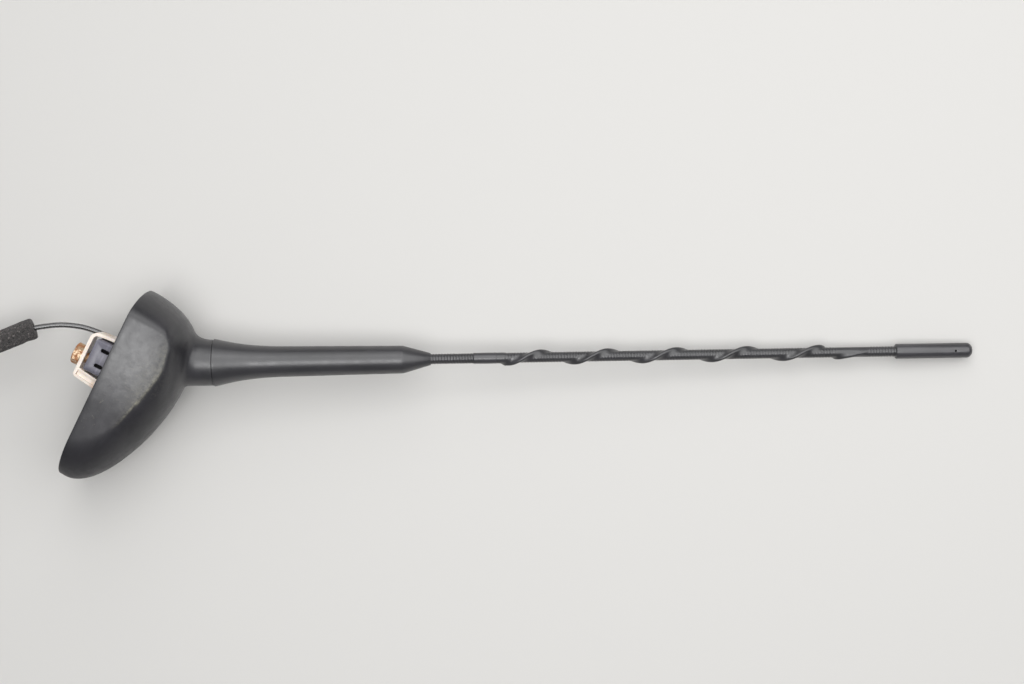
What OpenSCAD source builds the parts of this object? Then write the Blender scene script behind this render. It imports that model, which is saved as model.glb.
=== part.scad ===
// Roof antenna for a car: a domed base with a screw-in helical whip, a clip-and-bolt
// fixing below it and a short coaxial lead. Millimetres. +Z is the roof's normal, +X points
// to the front of the car, and the origin is on the roof where the mast's axis meets it.

/* [Mast] */
// Lean of the mast to the rear, from upright, in degrees
mast_lean = 27.2; // [20:0.1:34]
// Distance along the mast axis from the roof to the top of the base's neck
neck_top = 52.5; // [50:0.5:58]
// Length of the removable mast above the neck
mast_len = 394.5; // [380:0.5:460]
// Open seam between the neck and the mast's foot
seam_gap = 0.2; // [0.1:0.05:0.4]
// Diameter of the moulded sleeve at its foot
sleeve_foot_d = 24.9; // [24:0.1:26]
// Diameter of the sleeve where the flare ends
sleeve_d = 16; // [15:0.1:17]
// Diameter of the sleeve where its top cone starts
sleeve_top_d = 14.5; // [14:0.1:15]
// Length of the flare
flare_len = 35.5; // [30:0.5:42]
// Length of the sleeve up to the start of its top cone
sleeve_len = 98.2; // [90:0.2:104]
// Length of the top cone
cone_len = 14.4; // [12:0.2:18]
// Radius of the rounded edge at the start of the top cone
cone_edge_r = 1.6; // [0.8:0.1:2]
// Thread diameter of the mast's stud
stud_d = 5; // [4.6:0.1:5.4]
// Pitch of the stud's thread
stud_pitch = 0.8; // [0.8:0.1:1]
// Length of stud below the mast's foot
stud_len = 11; // [9:0.5:12]
// Diameter of the stud's collar inside the sleeve
collar_d = 9; // [8:0.5:11]
// Length of the stud's collar
collar_len = 14; // [12:0.5:18]

/* [Whip] */
// Diameter of the glass-fibre rod
rod_d = 3; // [2.6:0.1:3.2]
// Depth of the rod's socket in the stud's collar
rod_socket = 8; // [6:0.5:10]
// Diameter over the wire winding
winding_d = 4.2; // [4:0.1:4.4]
// Diameter over the shrunk jacket
jacket_d = 5.2; // [5:0.1:5.4]
// Height of the spiral rib above the jacket
rib_h = 1.5; // [1.2:0.1:1.8]
// Diameter of the cord under the rib
cord_d = 1.1; // [0.8:0.1:1.2]
// Distance from the joint sleeve to the start of the rib
rib_gap = 0.2; // [0.2:0.1:4]
// Length over which the rib fades out at its top
rib_fade_len = 22.5; // [12:0.5:40]
// Distance from the end of the rib to the tip cap
rib_stop = 14.5; // [8:0.5:24]
// First half pitch of the spiral
half_pitch = 17; // [16:0.1:18]
// Growth of each half pitch over the one before it
pitch_growth = 0.22; // [0:0.02:0.3]
// Diameter of the joint sleeve below the rib
joint_d = 5.8; // [5.6:0.1:6.4]
// Distance from the sleeve's cone to the joint sleeve
joint_gap = 22.2; // [16:0.2:26]
// Length of the joint sleeve
joint_len = 12.2; // [8:0.1:12.4]
// Length of the tip cap
cap_len = 40; // [36:0.2:44]
// Diameter of the tip cap
cap_d = 7.8; // [7.4:0.1:8.4]
// Depth of the jacket's socket in the cap
cap_socket = 15.6; // [12:0.2:18]
// Diameter of the vent in the side of the cap
vent_d = 1.2; // [0.8:0.1:1.6]
// Distance of the vent from the cap's top
vent_drop = 9.4; // [8:0.2:11]

/* [Base] */
// Distance from the origin to the nose
base_front = 62.8; // [60:0.2:66]
// Distance from the origin to the rear end
base_rear = 43; // [42:0.2:46]
// Width of the base
base_w = 61; // [56:1:68]
// Height of the dome in front of the neck
dome_h = 38; // [36:0.5:40]
// Diameter of the neck
neck_d = 24; // [23:0.1:24.8]
// Distance from the nose back to the dome's shoulder
shoulder_back = 22.6; // [20:0.2:26]
// Wall of the housing
wall = 2.6; // [2:0.1:3.2]
// Inset of the housing's lower edge
edge_in = 1; // [0.6:0.1:1.4]
// Height of the housing's lower edge above the roof
rim_gap = 0.3; // [0.2:0.1:0.6]
// Thickness of the base plate
plate_t = 3; // [2.5:0.1:3.5]
// Thickness of the sealing gasket
gasket_t = 1.5; // [1.2:0.1:2]
// Clearance round the base plate
plate_gap = 0.15; // [0.1:0.05:0.3]
// Diameter of the plate screws
screw_d = 2.9; // [2.5:0.1:3.2]
// Diameter of the plate screws' heads
screw_head_d = 5.4; // [5:0.1:6]
// Length of the plate screws
screw_len = 12; // [10:0.5:14]
// Diameter of the neck's brass bush
bush_d = 12; // [11:0.5:13]
// Length of the bush
bush_len = 17; // [15:0.5:18]
// Diameter of the bush's flange
bush_flange_d = 16; // [15:0.5:17]

/* [Fixing] */
// Centre of the spigot, forward of the origin
spigot_x = -1; // [-2:0.5:0]
// Length of the spigot along the car
spigot_len = 18; // [16:0.5:18]
// Width of the spigot across the car
spigot_w = 18; // [16:0.5:18]
// Depth of the spigot below the roof
spigot_depth = 12; // [11:0.5:14]
// Radius of the spigot's rear lower edge
spigot_edge_r = 2; // [1:0.1:2.2]
// Distance of the latch slots' upper ends below the roof
slot_drop = 3.1; // [2.8:0.1:3.6]
// Width of the latch slots in the spigot's sides
slot_w = 2; // [1.5:0.1:2.5]
// Height of the latch slots
slot_h = 4.6; // [4:0.2:5]
// Distance between the latch slots
slot_gap = 8.4; // [8:0.2:9]
// Depth of the latch slots
slot_depth = 4; // [3:0.5:5]
// Gap between the spigot and the clip's web
web_gap = 2.4; // [2:0.1:3]
// Thickness of the clip's web
web_t = 1.8; // [1.4:0.1:2.2]
// Width of the clip
clip_w = 12; // [10:0.5:12]
// Thickness of the clip's rear arm
arm_t = 1.6; // [1.2:0.1:2]
// Thickness of each flange of the clip's front arm
flange_t = 1.2; // [1:0.1:1.4]
// Depth of the clip's front arm over both flanges
front_arm_t = 5; // [4.4:0.1:5.4]
// Gap between the clip's arms and the spigot
arm_gap = 0.6; // [0.4:0.1:1]
// Distance of the arms' ends below the roof
arm_end = 2.5; // [2:0.1:3]
// Diameter of the fixing bolt
bolt_d = 5.9; // [5.5:0.1:6.1]
// Pitch of the bolt's thread
bolt_pitch = 1; // [0.8:0.1:1]
// Centre of the bolt, forward of the origin
bolt_x = 3; // [1:0.5:3]
// Width across the flats of the bolt's head
bolt_af = 10; // [9:0.5:11]
// Height of the bolt's head
bolt_head_h = 4; // [3.5:0.1:4.5]
// Side of the captive square nut
nut_af = 10; // [9:0.5:10]
// Thickness of the captive nut
nut_t = 5; // [4:0.5:5]
// Depth of the captive nut's seat below the roof
nut_drop = 2; // [1.5:0.1:2.2]

/* [Inner parts] */
// Length of the circuit board
board_len = 46; // [40:1:50]
// Width of the circuit board
board_w = 36; // [34:1:40]
// Thickness of the circuit board
board_t = 1.6; // [1.2:0.2:2]
// Height of the board's posts
post_h = 3.5; // [3.2:0.1:4]
// Thickness of the contact spring
spring_t = 0.4; // [0.3:0.05:0.6]

/* [Lead] */
// Diameter of the coaxial lead
lead_d = 2.8; // [2.6:0.1:3.2]
// Diameter of the foam sleeve on the lead
foam_d = 11; // [9:0.5:12]
// Diameter of the plug's shell
plug_d = 9.6; // [9:0.1:10]
// Length of the plug's shell
plug_len = 16; // [14:0.5:18]
// Diameter of the plug's centre pin
plug_pin_d = 3; // [2.5:0.1:3.5]
// Reach of the pin past the shell
pin_reach = 7; // [5:0.5:9]

/* [Hidden] */
$fn = 64;
// Small overlap that keeps cuts clean
eps = 0.05;
// Clearance of a thread or a turning shank in its bore, on the radius
run_gap = 0.05;
// Gap between the clip's web and the bolt's head
head_gap = 0.05;

// Colours
black = [0.07, 0.07, 0.075];
satin = [0.12, 0.12, 0.125];
rubber = [0.05, 0.05, 0.05];
slate = [0.24, 0.24, 0.30];
cream = [0.86, 0.78, 0.62];
brass = [0.72, 0.55, 0.26];
zinc = [0.66, 0.42, 0.16];
nickel = [0.70, 0.70, 0.68];
green = [0.10, 0.36, 0.20];

// Curves
function bezier(p, t) =
    pow(1 - t, 3) * p[0] + 3 * pow(1 - t, 2) * t * p[1] + 3 * (1 - t) * t * t * p[2] + pow(t, 3) * p[3];
function bezier_slope(p, t) =
    3 * pow(1 - t, 2) * (p[1] - p[0]) + 6 * (1 - t) * t * (p[2] - p[1]) + 3 * t * t * (p[3] - p[2]);
function along(p, n) = [for (i = [0 : n]) bezier(p, i / n)];
function unit(v) = v / norm(v);

// Faces of a solid whose surface is a stack of rings of equal count, closed at both ends
function ring_faces(rings, count) = concat(
    [for (j = [1 : count - 2]) [0, j, j + 1]],
    [for (i = [0 : rings - 2], j = [0 : count - 1])
        let (a = i * count + j, b = i * count + (j + 1) % count)
        each [[a, b + count, b], [a, a + count, b + count]]],
    [for (j = [1 : count - 2])
        let (top = (rings - 1) * count)
        [top, top + j + 1, top + j]]
);

// Faces of a tube from an outer stack of rings and an inner one of the same count
function tube_faces(rings, count) =
    let (inner = rings * count)
    concat(
        [for (i = [0 : rings - 2], j = [0 : count - 1])
            let (a = i * count + j, b = i * count + (j + 1) % count)
            each [[a, b + count, b], [a, a + count, b + count],
                  [inner + a, inner + b, inner + b + count], [inner + a, inner + b + count, inner + a + count]]],
        [for (j = [0 : count - 1])
            let (a = j, b = (j + 1) % count, c = (rings - 1) * count)
            each [[a, b, inner + b], [a, inner + b, inner + a],
                  [c + a, inner + c + a, inner + c + b], [c + a, inner + c + b, c + b]]]
    );

module stack(rings) {
    points = [for (ring = rings) each ring];
    polyhedron(points, ring_faces(len(rings), len(rings[0])), convexity = 6);
}

// Places a child made along +Z on the mast's axis, a distance from the roof
module on_mast(s) {
    rotate([0, -mast_lean, 0]) translate([0, 0, s]) children();
}

// Places a child on the mast's axis, a distance from the mast's foot
foot = neck_top + seam_gap;
module on_foot(t) {
    on_mast(foot + t) children();
}

module tube(r, bore, h) {
    difference() {
        cylinder(r = r, h = h);
        translate([0, 0, -eps]) cylinder(r = bore, h = h + 2 * eps);
    }
}

// The housing's side profile, as points of X and Z. The nose curve runs up from the front
// edge, the crown curve goes on to the neck, and the rear curve climbs the rear end.
edge_z = rim_gap + 1.6;
shoulder = [base_front - shoulder_back, 0.716 * dome_h];
crown_end = [-4.3, dome_h];
nose_curve = [
    [base_front, edge_z], [base_front + 2.7, 0.33 * dome_h],
    shoulder + [10.1, -4.6], shoulder
];
crown_curve = [shoulder, shoulder + [-14.4, 7.2], crown_end + [13.8, 0], crown_end];
rear_foot = [8.8 - base_rear, 0.78 * dome_h];
rear_curve = [
    [-base_rear, edge_z], [0.1 - base_rear, 0.32 * dome_h],
    [4.4 - base_rear, 0.64 * dome_h], rear_foot
];
// The neck's own edges: a tight corner in front and an easy sweep behind
neck_front_pull = 13.2;
neck_rear_pull = 5.6;
function neck_point(s, side) =
    [-s * sin(mast_lean) + side * neck_d / 2 * cos(mast_lean),
     s * cos(mast_lean) + side * neck_d / 2 * sin(mast_lean)];
neck_front_curve = [crown_end, crown_end + [-2.7, 0.2], neck_point(neck_top - neck_front_pull, 1), neck_point(neck_top, 1)];
neck_rear_curve = [rear_foot, rear_foot + [2, 3.1], neck_point(neck_top - neck_rear_pull, -1), neck_point(neck_top, -1)];

// Tables over the dome's rise, from 0 at the lower edge to 1 at the neck. The first two give
// where a ring's straight side ends in front and behind, as shares of the base's reach that
// way, and the third how far the side is drawn in, as a share of half the width. The straight
// sides end in a crease that bows up from the nose and down to the rear end.
side_front = [[0, 0.605], [0.25, 0.43], [0.5, 0.07], [0.6, -0.09], [0.72, -0.25], [1, -0.295]];
side_rear = [[0, 0.68], [0.25, 0.68], [0.5, 0.67], [0.6, 0.64], [0.72, 0.54], [1, 0.465]];
side_in = [
    [0, 0], [0.25, 0.033], [0.5, 0.075], [0.62, 0.098], [0.72, 0.125], [0.79, 0.19], [0.88, 0.31], [1, 0.443]
];

// A smooth curve through a table's points, read at a key
function table_slope(table, i) =
    let (a = table[max(i - 1, 0)], b = table[min(i + 1, len(table) - 1)])
    (b[1] - a[1]) / (b[0] - a[0]);
function smooth_lookup(key, table) =
    let (i = max([for (k = [0 : len(table) - 2]) if (table[k][0] <= key) k]),
         a = table[i], b = table[i + 1], h = b[0] - a[0], t = (key - a[0]) / h)
    (2 * t * t * t - 3 * t * t + 1) * a[1] + (t * t * t - 2 * t * t + t) * h * table_slope(table, i)
    + (3 * t * t - 2 * t * t * t) * b[1] + (t * t * t - t * t) * h * table_slope(table, i + 1);
function side_front_x(u) = base_front * smooth_lookup(u, side_front);
function side_rear_x(u) = -base_rear * smooth_lookup(u, side_rear);
function dome_half_w(u) = base_w / 2 * (1 - smooth_lookup(u, side_in));

// One ring of the housing: two half ovals joined by straight sides, through a front point and
// a rear point of the profile
ring_count = 44;
function ring(front, rear, side_f, side_r, half_w) =
    [for (j = [0 : ring_count - 1])
        let (a = 360 * (j + 0.5) / ring_count, c = cos(a),
             x = c > 0 ? side_f + (front[0] - side_f) * c : side_r + (side_r - rear[0]) * c,
             z = rear[1] + (front[1] - rear[1]) * (x - rear[0]) / (front[0] - rear[0]))
        [x, half_w * sin(a), z]];
function oval(front, rear, half_w) =
    let (mid = (front[0] + rear[0]) / 2)
    ring(front, rear, mid, mid, half_w);

// Inward steps of a given depth, square to the two profile curves
function front_at(u) = u < 0.5 ? bezier(nose_curve, 2 * u) : bezier(crown_curve, 2 * u - 1);
function front_slope(u) = u < 0.5 ? bezier_slope(nose_curve, 2 * u) : bezier_slope(crown_curve, 2 * u - 1);
function front_in(u, depth) =
    let (d = unit(front_slope(u)))
    front_at(u) + depth * [-d[1], d[0]];
function rear_in(u, depth) =
    let (d = unit(bezier_slope(rear_curve, u)))
    bezier(rear_curve, u) + depth * [d[1], -d[0]];
function dome_ring(u, depth) =
    ring(front_in(u, depth), rear_in(u, depth), side_front_x(u), side_rear_x(u), dome_half_w(u) - depth);

dome_rings = 18;
neck_rings = 8;
neck_width_curve = [dome_half_w(1), neck_d / 2 + 0.4, neck_d / 2, neck_d / 2];

module housing_outside() {
    stack(concat(
        [ring([base_front - edge_in, rim_gap], [edge_in - base_rear, rim_gap],
              side_front_x(0), side_rear_x(0), base_w / 2 - edge_in)],
        [for (i = [0 : dome_rings]) dome_ring(i / dome_rings, 0)],
        [for (i = [1 : neck_rings])
            let (t = i / neck_rings)
            oval(bezier(neck_front_curve, t), bezier(neck_rear_curve, t), bezier(neck_width_curve, t))]
    ));
}

// The hollow inside, from above the base plate to just under the neck
cavity_rings = 9;
cavity_top = 0.86;
plate_top = gasket_t + plate_t;
ledge = 1;
function cavity_start() =
    [for (i = [0 : 60]) if (bezier(rear_curve, i / 60)[1] > plate_top + 1.5) i / 60][0];
module housing_inside() {
    u0 = cavity_start();
    first = dome_ring(u0, wall + ledge);
    stack(concat(
        [[for (p = first) [p[0], p[1], plate_top - eps]]],
        [for (i = [0 : cavity_rings]) dome_ring(u0 + (cavity_top - u0) * i / cavity_rings, wall + ledge)]
    ));
}

// Outline of the base plate, and of the recess that takes it
function plate_outline(gap) =
    [for (p = ring([base_front, 0], [-base_rear, 0], side_front_x(0), side_rear_x(0), base_w / 2))
        let (mid = (base_front - base_rear) / 2, half = (base_front + base_rear) / 2,
             k = wall - gap)
        [mid + (p[0] - mid) * (half - k) / half, p[1] * (base_w / 2 - k) / (base_w / 2)]];

// Screws that hold the base plate up in the housing
screw_front = 42;
screw_front_y = 9;
screw_rear = -31;
screw_rear_y = 14;
screw_sites = [
    [screw_front, screw_front_y], [screw_front, -screw_front_y],
    [screw_rear, screw_rear_y], [screw_rear, -screw_rear_y]
];
boss_d = 6.4;

// The seat of the foot seal in the top of the neck
seal_d = 21;
seal_t = 0.6;
seal_bore = 11;
seal_seat = foot - seal_t;

module housing() {
    color(satin) difference() {
        housing_outside();
        difference() {
            housing_inside();
            for (site = screw_sites)
                translate([site[0], site[1], 0]) cylinder(d = boss_d, h = dome_h, $fn = 32);
        }
        translate([0, 0, -eps]) linear_extrude(plate_top + eps) polygon(plate_outline(0));
        for (site = screw_sites)
            translate([site[0], site[1], 0]) cylinder(d = screw_d, h = screw_len + gasket_t + 1, $fn = 32);
        on_mast(neck_top - bush_len - 12) cylinder(d = bush_flange_d + 0.4, h = 12);
        on_mast(neck_top - bush_len - eps) cylinder(d = bush_d, h = bush_len + 10);
        on_mast(seal_seat) cylinder(d = seal_d + 0.4, h = 10);
    }
}

// The threaded bush that the mast screws into, drawn up from inside the neck
bush_flange_t = 2;
bush_bottom = neck_top - bush_len - bush_flange_t;
module neck_bush() {
    color(brass) on_mast(bush_bottom) difference() {
        union() {
            cylinder(d = bush_flange_d, h = bush_flange_t);
            cylinder(d = bush_d, h = seal_seat - bush_bottom);
        }
        translate([0, 0, -eps]) cylinder(r = stud_d / 2 + run_gap, h = bush_len + bush_flange_t + 1);
    }
}

// The bent strip that joins the bush to the circuit board
board_z = plate_top + post_h;
board_top = board_z + board_t;
spring_w = 4;
function strip(points, t) = concat(points, [for (i = [len(points) - 1 : -1 : 0])
    let (a = points[max(i - 1, 0)], b = points[min(i + 1, len(points) - 1)], d = unit(b - a))
    points[i] + t * [d[1], -d[0]]]);
module contact_spring() {
    under = bush_bottom;
    side = [cos(mast_lean), sin(mast_lean)];
    centre = [-under * sin(mast_lean), under * cos(mast_lean)];
    bend = centre + 6.5 * side;
    line = [
        centre - 2.5 * side, centre + 5.5 * side, bend + [0.6, -0.6], bend + [0.4, -4],
        [-4, 20], [-6, 14], [-5.4, board_top + 1.2], [-4, board_top + spring_t], [1, board_top + spring_t]
    ];
    color(brass) translate([0, spring_w / 2, 0]) rotate([90, 0, 0])
        linear_extrude(spring_w) polygon(strip(line, spring_t));
}

// The amplifier's board on its four posts
board_x = 1;
post_d = 4;
post_pin_d = 2;
post_pin_rise = 0.6;
post_inset = 3;
post_sites = [for (x = [-1, 1], y = [-1, 1])
    [board_x + x * (board_len / 2 - post_inset), y * (board_w / 2 - post_inset)]];
module circuit_board() {
    color(green) difference() {
        translate([board_x - board_len / 2, -board_w / 2, board_z]) cube([board_len, board_w, board_t]);
        for (p = post_sites) translate([p[0], p[1], board_z - 1]) cylinder(d = post_pin_d, h = board_t + 2, $fn = 24);
    }
}

can_size = [17, 15, 4.5];
can_pos = [12.5, 0];
can_t = 0.4;
module screening_can() {
    color(nickel) translate([can_pos[0] - can_size[0] / 2, can_pos[1] - can_size[1] / 2, board_top]) difference() {
        cube(can_size);
        translate([can_t, can_t, -eps]) cube([can_size[0] - 2 * can_t, can_size[1] - 2 * can_t, can_size[2] - can_t + eps]);
    }
}

module board_parts() {
    chip = [3.2, 1.6, 1.2];
    color(black) {
        for (i = [0 : 3]) translate([board_x - board_len / 2 + 6, -9 + 5 * i, board_top]) cube(chip);
        for (y = [5 - board_w / 2, board_w / 4]) translate([2, y, board_top]) cube([5, 4, 1.6]);
        for (y = [-8, 8]) translate([-9, y, board_top]) cylinder(d = 5, h = 5, $fn = 32);
    }
}

// The base plate with the spigot that drops through the roof
spigot_r = 1.5;
gland_pos = [-10, 12.5];
gland_neck_d = 5.2;
module rounded_box(x, y, r) {
    for (a = [[x / 2 - r, y / 2], [x / 2, y / 2 - r]])
        square([2 * a[0], 2 * a[1]], center = true);
    for (i = [-1, 1], j = [-1, 1])
        translate([i * (x / 2 - r), j * (y / 2 - r)]) circle(r, $fn = 32);
}

// One latch slot, cut across the car, with round ends
module latch_slot() {
    r = slot_w / 2;
    rotate([90, 0, 0]) translate([0, 0, -slot_depth / 2 - eps]) linear_extrude(slot_depth + 2 * eps) union() {
        translate([-r, r]) square([slot_w, slot_h - slot_w]);
        for (z = [r, slot_h - r]) translate([0, z]) circle(r, $fn = 24);
    }
}

// Cutter that rounds an edge along Y whose solid lies towards +X and +Z
module edge_cutter(r, w) {
    rotate([90, 0, 0]) translate([0, 0, -w / 2]) linear_extrude(w) difference() {
        translate([-1, -1]) square(1 + r);
        translate([r, r]) circle(r, $fn = 48);
    }
}

nut_bottom = -nut_drop;
slot_z = -slot_drop - slot_h;
module base_plate() {
    color(slate) difference() {
        union() {
            translate([0, 0, gasket_t]) linear_extrude(plate_t) polygon(plate_outline(-plate_gap));
            translate([spigot_x, 0, -spigot_depth])
                linear_extrude(spigot_depth + gasket_t + 1) rounded_box(spigot_len, spigot_w, spigot_r);
            for (p = post_sites) translate([p[0], p[1], plate_top - 1]) {
                cylinder(d = post_d, h = post_h + 1, $fn = 32);
                cylinder(d = post_pin_d, h = post_h + 1 + board_t + post_pin_rise, $fn = 24);
            }
        }
        for (site = screw_sites) translate([site[0], site[1], gasket_t]) {
            translate([0, 0, -1]) cylinder(d = screw_d + 0.4, h = plate_t + 2, $fn = 32);
            translate([0, 0, -1]) cylinder(d = screw_head_d, h = 1 + screw_head_t, $fn = 32);
        }
        translate([gland_pos[0], gland_pos[1], 0]) cylinder(d = gland_neck_d, h = plate_top + 1, $fn = 48);
        translate([spigot_x - spigot_len / 2, 0, -spigot_depth]) edge_cutter(spigot_edge_r, spigot_w + 2);
        translate([bolt_x, 0, -spigot_depth - 1]) cylinder(d = bolt_d + 0.4, h = spigot_depth + 1);
        translate([bolt_x - nut_af / 2, -nut_af / 2, nut_bottom]) cube([nut_af, nut_af, plate_top + 3]);
        for (x = [-1, 1], side = [-1, 1])
            translate([spigot_x + x * slot_gap / 2, side * (spigot_w / 2 - slot_depth / 2), slot_z])
                latch_slot();
    }
}

// Soft gasket between the plate and the roof, open round the spigot and the lead's gland
gasket_gap = 0.4;
gland_flange_d = 6.6;
module sealing_gasket() {
    color(rubber) linear_extrude(gasket_t) difference() {
        polygon(plate_outline(-plate_gap));
        translate([spigot_x, 0]) rounded_box(spigot_len + 2 * gasket_gap, spigot_w + 2 * gasket_gap, spigot_r);
        translate(gland_pos) circle(d = gland_flange_d + 2 * gasket_gap, $fn = 48);
    }
}

screw_head_t = 1.4;
module plate_screws() {
    color(nickel) for (site = screw_sites) translate([site[0], site[1], gasket_t]) difference() {
        union() {
            cylinder(d = screw_head_d, h = screw_head_t, $fn = 32);
            cylinder(d = screw_d, h = screw_len, $fn = 32);
        }
        for (a = [0, 90]) rotate(a) translate([-1.5, -0.3, -eps]) cube([3, 0.6, 0.9]);
    }
}

module captive_nut() {
    color(nickel) translate([bolt_x, 0, nut_bottom]) difference() {
        translate([-nut_af / 2, -nut_af / 2, 0]) cube([nut_af, nut_af, nut_t]);
        translate([0, 0, -eps]) cylinder(r = bolt_d / 2 + run_gap, h = nut_t + 2 * eps);
    }
}

// Rubber gland with a tapered tail that the lead leaves through
gland_tail = 6;
gland_lip = 1;
module cable_gland() {
    color(rubber) translate([gland_pos[0], gland_pos[1], 0]) difference() {
        union() {
            translate([0, 0, plate_top]) cylinder(d = gland_flange_d, h = gland_lip, $fn = 48);
            translate([0, 0, gasket_t]) cylinder(d = gland_neck_d, h = plate_t, $fn = 48);
            cylinder(d = gland_flange_d, h = gasket_t, $fn = 48);
            translate([0, 0, -gland_tail]) cylinder(d1 = lead_d + 1.2, d2 = gland_neck_d, h = gland_tail, $fn = 48);
        }
        translate([0, 0, -gland_tail - 1]) cylinder(d = lead_d, h = gland_tail + plate_top + 4, $fn = 48);
    }
}

// The stretch of lead inside the gland, up to the board
module board_lead() {
    color(black) translate([gland_pos[0], gland_pos[1], -gland_tail])
        cylinder(d = lead_d, h = gland_tail + board_z, $fn = 48);
}

// The lead's route below the roof, from the gland's tail to the plug
lead_route = [
    [-10, 12.5, -6], [-10, 12.5, -12], [-9.7, 12, -18], [-8.8, 11.3, -24.5], [-7, 10.5, -30.5],
    [-4.4, 9.6, -36.5], [-1, 8.8, -42], [2.6, 8, -47], [7, 7.4, -51.2], [11.6, 6.8, -55.2],
    [16.6, 6.2, -59.6], [21.2, 5.8, -64.2], [25.4, 5.4, -69.4], [29, 5.2, -75.2], [31.9, 5, -81.4],
    [34.1, 5, -88], [35.6, 5, -94.8], [36.4, 5, -101.6], [36.6, 5, -108.6], [36.6, 5, -115.4],
    [36.6, 5, -121.6], [36.6, 5, -128], [36.6, 5, -134], [36.6, 5, -140]
];
// The foam sleeve covers the route between these two points
foam_from = 7;
foam_to = 19;

// A round tube swept along a list of points
function heading(route, i) =
    i == 0 || i == len(route) - 1 ? [0, 0, -1] : unit(route[i + 1] - route[i - 1]);
function hoop(centre, dir, r, sides) =
    let (u = unit(cross(dir, [0, 1, 0])), v = cross(dir, u))
    [for (j = [0 : sides - 1])
        let (a = 360 * (j + 0.5) / sides)
        centre + r * (cos(a) * u + sin(a) * v)];
module sweep(route, first, last, r, sides) {
    stack([for (i = [first : last]) hoop(route[i], heading(route, i), r, sides)]);
}

module cable_lead() {
    color(black) sweep(lead_route, 0, len(lead_route) - 1, lead_d / 2, 8);
}

foam_sides = 12;
foam_bore_r = (lead_d / 2 + run_gap) / cos(180 / foam_sides);
function foam_hoops(r) =
    [for (i = [foam_from : foam_to]) hoop(lead_route[i], heading(lead_route, i), r, foam_sides)];
module foam_sleeve() {
    rings = concat(foam_hoops(foam_d / 2), foam_hoops(foam_bore_r));
    points = [for (ring = rings) each ring];
    color([0.14, 0.14, 0.15]) polyhedron(points, tube_faces(len(rings) / 2, foam_sides), convexity = 6);
}

// The plug hangs from the end of the lead
plug_top = lead_route[len(lead_route) - 1];
boot_len = 18;
boot_ribs = 4;
plug_wall = 0.5;
insulator_t = 4;
module on_plug(drop) {
    translate([plug_top[0], plug_top[1], plug_top[2] - drop]) children();
}

module plug_boot() {
    color(rubber) on_plug(boot_len) {
        cylinder(r1 = plug_d / 2 + 0.6, r2 = lead_d / 2 + 0.9, h = boot_len);
        for (i = [0 : boot_ribs - 1])
            translate([0, 0, boot_len * (0.16 + 0.2 * i)]) cylinder(r = plug_d / 2 + 0.5 - 0.55 * i, h = 1.6);
    }
}

module plug_shell() {
    color(nickel) on_plug(boot_len + plug_len) difference() {
        tube(plug_d / 2, plug_d / 2 - plug_wall, plug_len);
        for (a = [0, 90]) rotate(a + 45)
            translate([-plug_d, -0.6, -1]) cube([2 * plug_d, 1.2, plug_len * 0.6 + 1]);
    }
}

stem_d = 2;
module plug_insulator() {
    color(cream) on_plug(boot_len + insulator_t)
        tube(plug_d / 2 - plug_wall, stem_d / 2, insulator_t);
}

module plug_pin() {
    pin_len = plug_len + pin_reach;
    r = plug_pin_d / 2;
    color(nickel) on_plug(boot_len + pin_len) rotate_extrude()
        polygon([[0, 0], [r * 0.5, 0], [r * 0.85, 0.5], [r, 1.4], [r, pin_len - insulator_t],
                 [stem_d / 2, pin_len - insulator_t], [stem_d / 2, pin_len], [0, pin_len]]);
}

// The washer that seals the mast to the neck, carried up with the mast
module foot_seal() {
    color(rubber) on_mast(seal_seat) tube(seal_d / 2, seal_bore / 2, seal_t);
}

module mast_stud() {
    color(brass) difference() {
        union() {
            on_foot(-stud_len) cylinder(d = stud_d, h = stud_len + eps);
            on_foot(0) cylinder(d = collar_d, h = collar_len);
        }
        on_foot(collar_len - rod_socket) cylinder(d = rod_d, h = rod_socket + 1);
    }
}

// The moulded sleeve: a flared foot, a long slow taper and a cone
flare_curve = [
    [sleeve_foot_d / 2, 0.5], [sleeve_foot_d / 2 - 1.9, 9],
    [sleeve_d / 2 + 0.4, 0.44 * flare_len], [sleeve_d / 2, flare_len]
];
sleeve_h = sleeve_len + cone_len;
joint_start = sleeve_h + joint_gap;
jacket_start = sleeve_len;
module mast_sleeve() {
    cone_dir = unit([jacket_d / 2 + 0.6 - sleeve_top_d / 2, cone_len]);
    edge = [for (i = [0 : 4])
        bezier([[sleeve_top_d / 2, sleeve_len - cone_edge_r], [sleeve_top_d / 2, sleeve_len],
                [sleeve_top_d / 2, sleeve_len], [sleeve_top_d / 2, sleeve_len] + cone_edge_r * cone_dir], i / 4)];
    color(satin) on_foot(0) difference() {
        rotate_extrude() polygon(concat(
            [[0, 0], [sleeve_foot_d / 2 - 0.5, 0]],
            along(flare_curve, 16),
            edge,
            [[jacket_d / 2 + 0.6, sleeve_h], [0, sleeve_h]]
        ));
        translate([0, 0, -eps]) cylinder(d = collar_d, h = collar_len + eps);
        cylinder(d = winding_d, h = sleeve_len + eps);
        translate([0, 0, jacket_start]) cylinder(d = jacket_d, h = cone_len + 1);
    }
}

// The whip: rod, winding, and a jacket shrunk over both
cap_start = mast_len - cap_len;
jacket_end = cap_start + cap_socket;
rod_end = jacket_end + 8;
rib_start = joint_start + joint_len + rib_gap;
rib_end = cap_start - rib_stop;
rib_fade = rib_end - rib_fade_len;
module whip_rod() {
    start = collar_len - rod_socket;
    color([0.85, 0.82, 0.70]) on_foot(start) cylinder(d = rod_d, h = rod_end - start, $fn = 32);
}

module whip_winding() {
    color(brass) on_foot(collar_len) tube(winding_d / 2, rod_d / 2, jacket_end - collar_len);
}

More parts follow.
